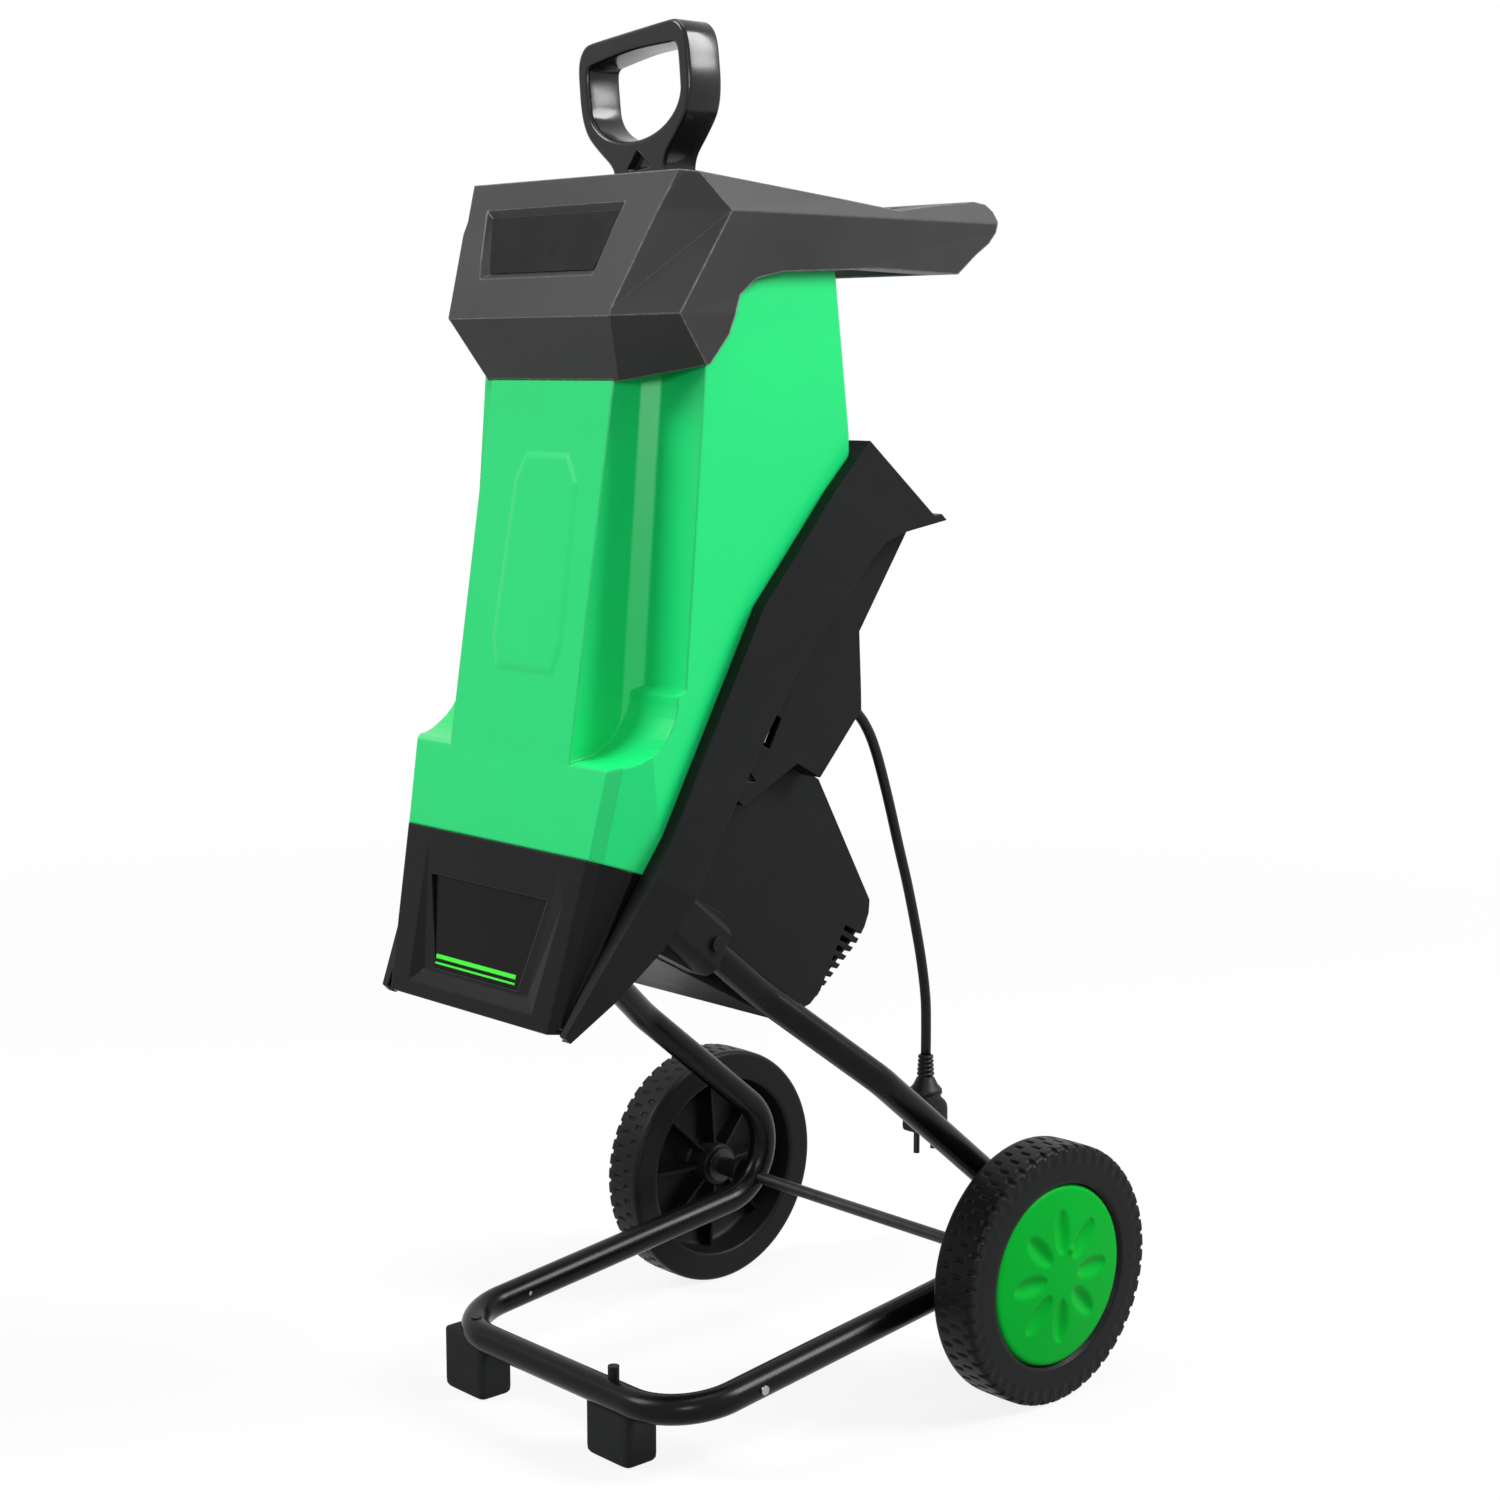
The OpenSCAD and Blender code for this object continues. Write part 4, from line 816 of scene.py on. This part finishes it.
    def ribs(self) -> bpy.types.Object:
        """Eight radial ribs of the dish, whose free edge slopes down from the hub.

        Each rib is 3 mm thick, and its section falls by 6 mm towards the rim.

        Returns:
            One object with all the ribs, rounded by a bevel.
        """
        half = 1.5 * MM
        low, high = self.hub_radius - 2 * MM, self.dish_radius + 2 * MM
        corner = np.array([[self.hub_inner + 6.5 * MM, low], [self.hub_inner + 12.5 * MM, high],
                           [self.web_inner + 1 * MM, high], [self.web_inner + 1 * MM, low]])
        box = np.array([[x, r, t] for t in (-half, half) for x, r in corner])
        turns = np.arange(8) * math.pi / 4
        cos, sin = np.cos(turns)[:, None], np.sin(turns)[:, None]
        points = np.stack([np.tile(box[:, 0], (8, 1)), box[:, 1] * cos - box[:, 2] * sin,
                           box[:, 1] * sin + box[:, 2] * cos], axis=-1)
        face = [(0, 1, 2, 3), (7, 6, 5, 4), (0, 4, 5, 1), (1, 5, 6, 2), (2, 6, 7, 3), (3, 7, 4, 0)]
        faces = [tuple(8 * k + i for i in f) for k in range(8) for f in face]
        piece = Surface.from_faces(
            f"{self.name}_wheel_ribs", self.placed(points).reshape(-1, 3), faces, flat=True)
        bevel = piece.modifiers.new("rounded", "BEVEL")
        bevel.width, bevel.segments = 0.8 * MM, 2
        return piece

    def cap(self) -> np.ndarray:
        """Domed cap with eight dimples like petals and a small nub.

        The height over the seat is the dome less 4 mm times the square of the radius's share,
        rounded off at the rim. A dimple's depth is a raised cosine across it times (1 - s^2)^0.7
        along it. The nub is a bell of 1.8 mm beside the centre.

        Returns:
            A grid whose row is a radius and whose column is an angle.
        """
        rim = self.cap_radius
        r = np.concatenate([np.linspace(0.3 * MM, 0.93 * rim, 78),
                            rim * (1 - 0.07 * np.cos(np.linspace(0.2, 1, 6) * math.pi / 2))])
        a = full_turn(384)[None]
        r = r[:, None]
        share = r / rim
        height = self.dome - 4 * MM * share**2
        lip = np.clip((share - 0.93) / 0.07, 0, 1)
        height = height - 2.2 * MM * (1 - np.sqrt(np.clip(1 - lip**2, 0, 1)))
        y, z = r * np.cos(a), r * np.sin(a)
        turn = (a + math.pi / 8) % (math.pi / 4) - math.pi / 8
        across = r * np.sin(turn)
        along = (r * np.cos(turn) - 0.5 * rim) / (0.25 * rim)
        width = 10 * MM * np.clip(1 - along**2, 0, 1) ** 0.4 + 0.01 * MM
        dip = 0.5 + 0.5 * np.cos(np.clip(across / width, -1, 1) * math.pi)
        height = height - self.petal_depth * dip * np.clip(1 - along**2, 0, 1) ** 0.7
        nub = np.hypot(y - 9 * MM, z - 19 * MM) / (3 * MM)
        height = height + 1.8 * MM * np.exp(-(nub**2))
        seat = self.web_outer + 0.1 * MM
        top = np.stack([seat + height + 0 * a, y, z], axis=-1)
        base = revolved(np.array([[seat, rim], [seat, 12 * MM]]), a)
        return np.vstack([top, base])


@dataclass
class Grip(Assembly):
    """Rounded handle of the push stick, with its neck and foot plate.

    Attributes:
        foot: Origin of the handle's own axes.
        lean: Angle by which it leans in the plane of X and Z.
        depth: Thickness from front to rear.
        width: Widest measure over the sides, in millimetres.
        bar: Thickness of the top bar, in millimetres.
        middle: Height of the point round which the loop turns, in millimetres.
        turns: Directions round that point.
        corner: Radius of the section's corners, in millimetres.
        triangle_depth: Depth of the triangle sunk in the neck, in millimetres.
    """

    foot: Point = (9 * MM, AXLE_Y - 224.5 * MM, 903 * MM)
    lean: float = math.radians(6)
    depth: float = 31 * MM
    width: float = 120.0
    bar: float = 16.0
    middle: float = 68.0
    turns: int = 480
    corner: float = 2.8
    triangle_depth: float = 5.0

    def outer(self) -> np.ndarray:
        """Outline of the outside.

        Returns:
            Its corners, in millimetres across and up.
        """
        h = self.width / 2
        right = [(26, -7), (25.5, 6), (30, 18), (42, 30), (53, 42), (h - 2, 53), (h, 66), (h, 80),
                 (h - 0.5, 92), (h - 3, 100.5), (h - 9, 106.5), (h - 20, 108.4)]
        return np.array(right + [(-x, y) for x, y in reversed(right)], dtype=float)

    def inner(self) -> np.ndarray:
        """Outline of the hole: a bowl below, a bar above.

        Returns:
            Its corners, in millimetres across and up.
        """
        h = self.width / 2 - 11
        a = np.radians(180 + 180 * np.arange(25) / 24)
        bowl = np.stack([h * np.cos(a), 63 + 30 * np.sin(a)], axis=1)
        top = 109 - self.bar
        side = [(h, 86), (h - 3, 92), (h - 10, top)]
        rest = side + [(0, top + 2)] + [(-x, y) for x, y in reversed(side)]
        return np.vstack([bowl, np.array(rest)])

    def reach(self, corners: np.ndarray, angles: np.ndarray, soft: int) -> np.ndarray:
        """Distance from the middle to an outline, in each direction.

        A Catmull-Rom curve through the corners is cut every millimetre, its distance is read at
        each angle by straight interpolation, and a running mean rounds it.

        Args:
            corners: Outline, in millimetres.
            angles: Directions from the middle.
            soft: Number of neighbours in the running mean.

        Returns:
            One distance an angle.
        """
        closed = smooth_line(np.vstack([corners, corners[:1]]), 8)
        line = resample(closed, 1.0) - [0, self.middle]
        turn = np.arctan2(line[:, 1], line[:, 0]) % (2 * math.pi)
        order = np.argsort(turn)
        far = np.hypot(*line.T)[order]
        value = np.interp(angles, turn[order], far, period=2 * math.pi)
        window = np.hanning(soft + 2)[1:-1]
        wrapped = np.concatenate([value[-soft:], value, value[:soft]])
        return np.convolve(wrapped, window / window.sum(), mode="same")[soft:-soft]

    def build(self) -> None:
        """Makes the handle and its foot plate and dresses them."""
        loop = Surface.from_grid("rounded_handle", self.loop(), around_rows=True)
        self.settle(loop, "push_stick", Dress.GRIP, "grip_black", ("push_handle",))
        plate = Surface.from_grid("handle_foot_plate", self.plate(), closed_ends=True)
        self.settle(plate, "push_stick", Dress.GRIP, "grip_black")

    def placed(self, across: np.ndarray, up: np.ndarray, back: np.ndarray) -> np.ndarray:
        """Moves points from the handle's own axes to the part's.

        Args:
            across: Millimetres to the side.
            up: Millimetres up the handle.
            back: Millimetres to the rear.

        Returns:
            The points in the part's frame, in metres.
        """
        cos, sin = math.cos(self.lean), math.sin(self.lean)
        x = self.foot[0] + (across * cos - up * sin) * MM
        z = self.foot[2] + (across * sin + up * cos) * MM
        return np.stack([x, self.foot[1] + back * MM + 0 * x, z], axis=-1)

    def loop(self) -> np.ndarray:
        """Handle as a rounded rectangle carried round the hole.

        At each direction the section runs between the hole's distance and the outside's, and
        over the depth, with its four corners rounded. On both faces the neck sinks within a
        triangle, by a smooth step of how far each point is beyond the triangle's sides.

        Returns:
            A grid whose row is a place round the section and whose column is a direction.
        """
        angles = full_turn(self.turns)
        out = self.reach(self.outer(), angles, soft=15)
        hole = self.reach(self.inner(), angles, soft=9)
        half, corner = self.depth / MM / 2, self.corner
        bend = [(math.cos(t), half - corner + corner * math.sin(t))
                for t in np.linspace(0, math.pi / 2, 5)]
        rows = [(out - corner + corner * c, back) for c, back in bend]
        rows += [((out - corner) * (1 - t) + (hole + corner) * t, half)
                 for t in np.linspace(0, 1, 26)[1:-1]]
        rows += [(hole + corner - corner * c, back) for c, back in reversed(bend)]
        distance = np.array([row for row, _ in rows])
        back = np.array([np.full_like(out, place) for _, place in rows])
        x, up = distance * np.cos(angles), self.middle + distance * np.sin(angles)
        beyond = np.maximum(13 - up, 0.7 * (up - 25 + np.abs(x)))
        sunk = ease(0.5 - beyond) * (back > half - 0.1)
        back = back - self.triangle_depth * sunk
        x, up = np.vstack([x, x[::-1]]), np.vstack([up, up[::-1]])
        return self.placed(x, up, np.vstack([back, -back[::-1]]))

    def plate(self) -> np.ndarray:
        """Foot plate, a cushion that closes in towards its top and bottom edges.

        Returns:
            A grid whose row is a height.
        """
        low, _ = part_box("push_handle")
        middle = np.array([8 * MM, self.foot[1], low[2]])
        edge = ((0, 0.8), (1, 0), (5.5, 0), (6.6, 0.5), (7, 1.4))
        return middle + cushion((42 * MM, 19.5 * MM), edge)


@dataclass
class Foot(Assembly):
    """One block foot, rounded at its corners and under its edges.

    Attributes:
        name: CAD node of the foot.
    """

    name: str = "left_foot"

    def build(self) -> None:
        """Makes the block over the whole of the node's box."""
        low, high = (np.array(corner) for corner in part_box(self.name))
        half = (high - low) / 2
        top = 2 * half[2] / MM
        edge = ((0, 3.4), (0.7, 1.6), (2.6, 0.3), (6, 0),
                (top - 2, 0), (top - 0.6, 0.5), (top, 1.6))
        block = np.append((low + half)[:2], low[2]) + cushion((half[0], half[1]), edge)
        piece = Surface.from_grid(f"rounded_{self.name}", block, closed_ends=True)
        self.settle(piece, "stand", Dress.FOOT, "foot_rubber", (self.name,))


@dataclass
class MainsLead(Assembly):
    """Cord, strain relief, plug and pins.

    Attributes:
        route: Points of the centre line, in metres.
        diameter: Diameter of the cord.
    """

    route: np.ndarray = field(default_factory=lambda: MM * np.array([
        [60, 58, 531], [60, 64, 528], [60, 73, 522], [60, 82, 513], [60, 90, 501],
        [60, 97, 486], [60, 104, 467], [60, 112, 443], [60, 121, 414], [60, 131, 383],
        [60, 140, 351], [60, 148, 318], [60, 153, 288], [60, 154, 264], [60, 154, 242]], float))
    diameter: float = 8 * MM

    def build(self) -> None:
        path = smooth_line(self.route[1:], 4)
        inside = np.vstack([self.route[1] + 0.8 * (self.route[0] - self.route[1]), path])
        cord = Surface.from_grid(
            "mains_cord", tube(inside, self.diameter / 2, 20), closed_ends=True)
        self.settle(cord, "stand", Dress.CORD, "cord_rubber", ("power_cord",))
        plug = Surface.from_grid("moulded_plug", self.plug(), closed_ends=True)
        self.settle(plug, "stand", Dress.CORD, "cord_rubber", ("plug_body",))
        relief = Surface.from_grid("strain_relief", self.relief(), closed_ends=True)
        self.settle(relief, "stand", Dress.CORD, "cord_rubber", ("cord_gland",))

    def plug(self) -> np.ndarray:
        """Plug as sections down from the cord's end, from a round to a rounded rectangle.

        Each section is a superellipse |x/a|^n + |y/b|^n = 1 whose half widths a and b and whose
        power n follow the plug's depth: ribbed round sleeve, flange, waist and flat body.

        Returns:
            A grid whose row is a depth.
        """
        rows = [(0, 4.8, 4.8, 2)]
        for k in range(5):
            depth = 1 + 3.4 * k
            wide = 6.0 + 0.2 * k
            rows += [(depth, wide, wide, 2), (depth + 1.5, wide, wide, 2),
                     (depth + 1.8, wide - 1, wide - 1, 2), (depth + 3.0, wide - 1, wide - 1, 2)]
        rows += [(19, 7.2, 7.2, 2), (24, 9, 9.6, 2.2), (27, 11.4, 12, 2.3), (28, 12, 12.6, 2.4),
                 (31, 12, 12.6, 2.6), (32, 11, 12, 2.8), (33.5, 8.8, 12.6, 3), (36, 8, 14, 3.6),
                 (39, 7.8, 17.5, 4.4), (42, 8, 19.4, 5), (45, 8, 20, 5.5), (55, 8, 20, 6),
                 (57.6, 7.8, 19.8, 6), (58.7, 7, 19, 6)]
        depth, a, b, n = np.array(rows).T[:, :, None]
        return self.route[-1] + MM * superellipses(a, b, n, -depth)

    def relief(self) -> np.ndarray:
        """Tapered sleeve at the housing, a surface of revolution with ring grooves.

        Returns:
            A grid along the direction in which the cord leaves.
        """
        rows = [(-40, 8.4), (-29.5, 8.4), (-29, 11.4), (-27.4, 11.4), (-27, 8.2)]
        for k in range(6):
            place = -25 + 4 * k
            size = 8.0 - 2.3 * k / 5
            rows += [(place, size), (place + 2, size - 0.15), (place + 2.3, size - 1.1),
                     (place + 3.6, size - 1.2)]
        rows += [(-0.6, 5.4), (0, 4.9), (0, 4.05)]
        along, size = np.array(rows).T * MM
        axis = unit(self.route[1] - self.route[0])
        over = np.cross(axis, [1.0, 0, 0])
        t = full_turn(48)[None, :, None]
        ring = np.cos(t) * np.array([1.0, 0, 0]) + np.sin(t) * over
        return self.route[1] + along[:, None, None] * axis + size[:, None, None] * ring


@dataclass
class Hopper(Assembly):
    """What the green hopper shows beyond its solid: the raised outline on its front.

    Attributes:
        low: Y and Z of the front panel's foot.
        slope: Way that the panel leans back for each unit of height.
        rise: Height of the raised outline.
        soft: Width of the raised outline's soft rim.
        sink: Depth of the border under the panel.
        outline: Corners of the raised outline, X and Z, in millimetres.
    """

    low: Pair = (AXLE_Y - 355.5 * MM, 510 * MM)
    slope: float = 0.1607
    rise: float = 1.0 * MM
    soft: float = 7 * MM
    sink: float = 0.08 * MM
    outline: tuple[Pair, ...] = (
        (-27, 566), (40, 566), (48, 590), (44, 700), (30, 721), (-20, 721), (-30, 700), (-35, 590))

    def build(self) -> None:
        """Makes the raised outline."""
        piece = Surface.from_grid("front_emboss", self.emboss(), around_columns=False)
        self.settle(piece, "hopper", Dress.SHELL, "hopper_green")

    def emboss(self) -> np.ndarray:
        """Low plateau over the front panel with a soft rim.

        The height is the rise times a smooth step of the distance inside the outline over the
        rim's width, and sinks under the panel at the border.

        Returns:
            A grid over the outline's box.
        """
        corners = np.array(self.outline) * MM
        x, z = np.meshgrid(np.linspace(-42, 55, 110) * MM, np.linspace(556, 730, 190) * MM)
        start, end = corners, np.roll(corners, -1, axis=0)
        along = end - start
        normal = unit(np.stack([-along[:, 1], along[:, 0]], axis=-1))
        gap = np.stack([(x - s[0]) * n[0] + (z - s[1]) * n[1] for s, n in zip(start, normal)])
        height = self.rise * ease(gap.min(axis=0) / self.soft) - self.sink
        lean = math.hypot(1.0, self.slope)
        y = self.low[0] + (z - self.low[1]) * self.slope - height / lean
        return np.stack([x, y, z + height * self.slope / lean], axis=-1)


AS_MODELLED: dict[Dress, tuple[str, ...]] = {
    Dress.TUBE: ("left_side_tube", "right_side_tube", "front_bar"),
    Dress.HOUSING: ("motor_housing", "vent_cover", "locking_knob", "foot_pegs", "leg_screws",
                    "reset_button"),
    Dress.SHELL: ("hopper_shell",),
    Dress.COLLAR: ("hopper_collar",),
    Dress.SHROUD: ("front_shroud",),
    Dress.GRIP: ("push_stick",),
    Dress.ZINC: ("joint_screws", "axle_nuts", "side_clips", "cover_screws",
                 "plate_screws", "hinge_rod", "knob_bolt", "front_bearing", "rear_bearing"),
    Dress.DARK_STEEL: ("axle", "axle_sleeves", "blade_screws", "disc_bolt", "drive_shaft",
                       "plug_pins"),
    Dress.BLADE: ("cutter_blades", "cutter_disc"),
    Dress.MOTOR: ("motor_can", "motor_plate"),
    Dress.BADGE: ("collar_badge_plate", "shroud_badge_plate"),
    Dress.STRIPE: ("shroud_stripes",),
    Dress.GREEN_SWITCH: ("on_button",),
    Dress.RED_SWITCH: ("off_button",),
    Dress.INNER: ("switch_box", "cooling_fan", "hopper_floor"),
}


@dataclass
class Solids(Assembly):
    """Dresses the CAD nodes that are shown as they are modelled.

    Attributes:
        nodes: CAD objects by name.
    """

    nodes: dict[str, bpy.types.Object]

    def build(self) -> None:
        """Puts each node's finish on it."""
        for dress, names in AS_MODELLED.items():
            for name in names:
                self.wardrobe.put_on(self.nodes[name], dress)
                LOG.info("%s wears %s", name, dress.value.name)


# ---------------------------------------------------------------- studio


@dataclass
class Studio:
    """Camera, lamps, floor and pale surroundings.

    Attributes:
        eye: Place of the camera.
        azimuth: Angle of its view about Z, in degrees.
        pitch: Angle of its view below level, in degrees.
        lens: Focal length in millimetres on a 36 mm sensor.
        air: Strength of the surrounding light.
    """

    eye: Point = (1.4656, -1.3208, 0.7775)
    azimuth: float = 47.521
    pitch: float = 8.213
    lens: float = 63.62
    air: float = 0.1

    def set_camera(self) -> None:
        """Makes the camera."""
        data = bpy.data.cameras.new("view")
        data.lens, data.sensor_width = self.lens, 36.0
        data.clip_start, data.clip_end = 0.05, 60.0
        camera = bpy.data.objects.new("view", data)
        camera.location = self.eye
        camera.rotation_euler = (math.radians(90 - self.pitch), 0, math.radians(self.azimuth))
        bpy.context.scene.collection.objects.link(camera)
        bpy.context.scene.camera = camera

    def lamp(self, name: str, place: Point, aim: Point, size: Pair, power: float) -> None:
        """Adds one soft box.

        Args:
            name: Name of the lamp.
            place: Its centre, in metres.
            aim: Point that it faces.
            size: Its width and height.
            power: Its power in watts.
        """
        data = bpy.data.lights.new(name, "AREA")
        data.shape, data.size, data.size_y, data.energy = "RECTANGLE", *size, power
        piece = bpy.data.objects.new(name, data)
        piece.location = place
        piece.rotation_euler = (Vector(aim) - Vector(place)).to_track_quat("-Z", "Y").to_euler()
        bpy.context.scene.collection.objects.link(piece)

    def light(self) -> None:
        """Adds the lamps and the surrounding light."""
        middle = (0.0, 0.0, 0.5)
        self.lamp("side_box", (2.2, 1.9, 2.6), middle, (1.2, 1.6), 148)
        self.lamp("front_box", (-1.6, -2.5, 2.8), middle, (1.4, 1.4), 98)
        self.lamp("view_box", (1.9, -1.8, 1.3), middle, (0.5, 0.5), 20)
        self.lamp("top_box", (0.0, 0.0, 2.9), middle, (1.6, 1.6), 24)
        world = bpy.data.worlds.new("pale_air")
        bpy.context.scene.world = world
        world.use_nodes = True
        nodes, links = world.node_tree.nodes, world.node_tree.links
        back, seen = nodes["Background"], nodes.new("ShaderNodeBackground")
        for node, strength in ((back, self.air), (seen, 1.0)):
            node.inputs["Color"].default_value = (1, 1, 1, 1)
            node.inputs["Strength"].default_value = strength
        mix = nodes.new("ShaderNodeMixShader")
        share = self.seen_rays(nodes, links)
        for key, source in enumerate((share, back.outputs[0], seen.outputs[0])):
            links.new(source, mix.inputs[key])
        links.new(mix.outputs[0], nodes["World Output"].inputs["Surface"])
        bpy.context.scene.view_settings.view_transform = "Standard"

    @staticmethod
    def seen_rays(nodes: bpy.types.Nodes, links: bpy.types.NodeLinks) -> Socket:
        """Adds a value of 1 for rays from the camera or through gloss or glass, else 0.

        Args:
            nodes: Nodes of the material or the world.
            links: Its links.

        Returns:
            The value.
        """
        path = nodes.new("ShaderNodeLightPath")
        total = path.outputs["Is Camera Ray"]
        for key in ("Is Glossy Ray", "Is Transmission Ray"):
            add = nodes.new("ShaderNodeMath")
            add.operation = "MAXIMUM"
            links.new(total, add.inputs[0])
            links.new(path.outputs[key], add.inputs[1])
            total = add.outputs[0]
        return total

    def floor(self) -> None:
        """Adds the plain pale floor, which keeps a light shadow and fades to white far away."""
        size = 14.0
        corners = np.array([[-size, -size, 0], [size, -size, 0], [size, size, 0], [-size, size, 0]])
        mesh = bpy.data.meshes.new("studio_floor")
        mesh.from_pydata(corners.tolist(), [], [(0, 1, 2, 3)])
        piece = bpy.data.objects.new("studio_floor", mesh)
        bpy.context.scene.collection.objects.link(piece)
        g = Graph("pale_floor")
        seen = self.seen_rays(g.nodes, g.links)
        g.join(g.spread(seen, 0.0, 1.0, 0.25, 0.8), g.shader, "Base Color")
        g.shader.inputs["Roughness"].default_value = 1.0
        g.shader.inputs["Specular IOR Level"].default_value = 0.0
        glow = g.add("ShaderNodeEmission")
        glow.inputs["Strength"].default_value = 1.0
        far = g.add("ShaderNodeVectorMath", operation="LENGTH")
        g.join(g.place, far, 0)
        fade = g.spread(far.outputs["Value"], 0.7, 3.0, 0.86, 1.0, way="SMOOTHSTEP")
        mix = g.add("ShaderNodeMixShader")
        share = g.product(seen, fade)
        for key, source in enumerate((share, g.shader.outputs[0], glow.outputs[0])):
            g.join(source, mix, key)
        g.join(mix.outputs[0], g.nodes["Material Output"], "Surface")
        mesh.materials.append(g.material)


def main() -> None:
    """Builds the looks round the frame."""
    logging.basicConfig(level=logging.INFO, format="%(name)s: %(message)s")
    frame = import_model()
    studio = Studio()
    studio.set_camera()
    wardrobe = Wardrobe()
    MainsLead(wardrobe).build()
    Solids(wardrobe, frame["nodes"]).build()
    for side in (-1, 1):
        Wheel(wardrobe, side=side).build()
    Grip(wardrobe).build()
    for name in ("left_foot", "right_foot"):
        Foot(wardrobe, name=name).build()
    Hopper(wardrobe).build()
    studio.floor()
    studio.light()


if __name__ == "__main__":
    main()
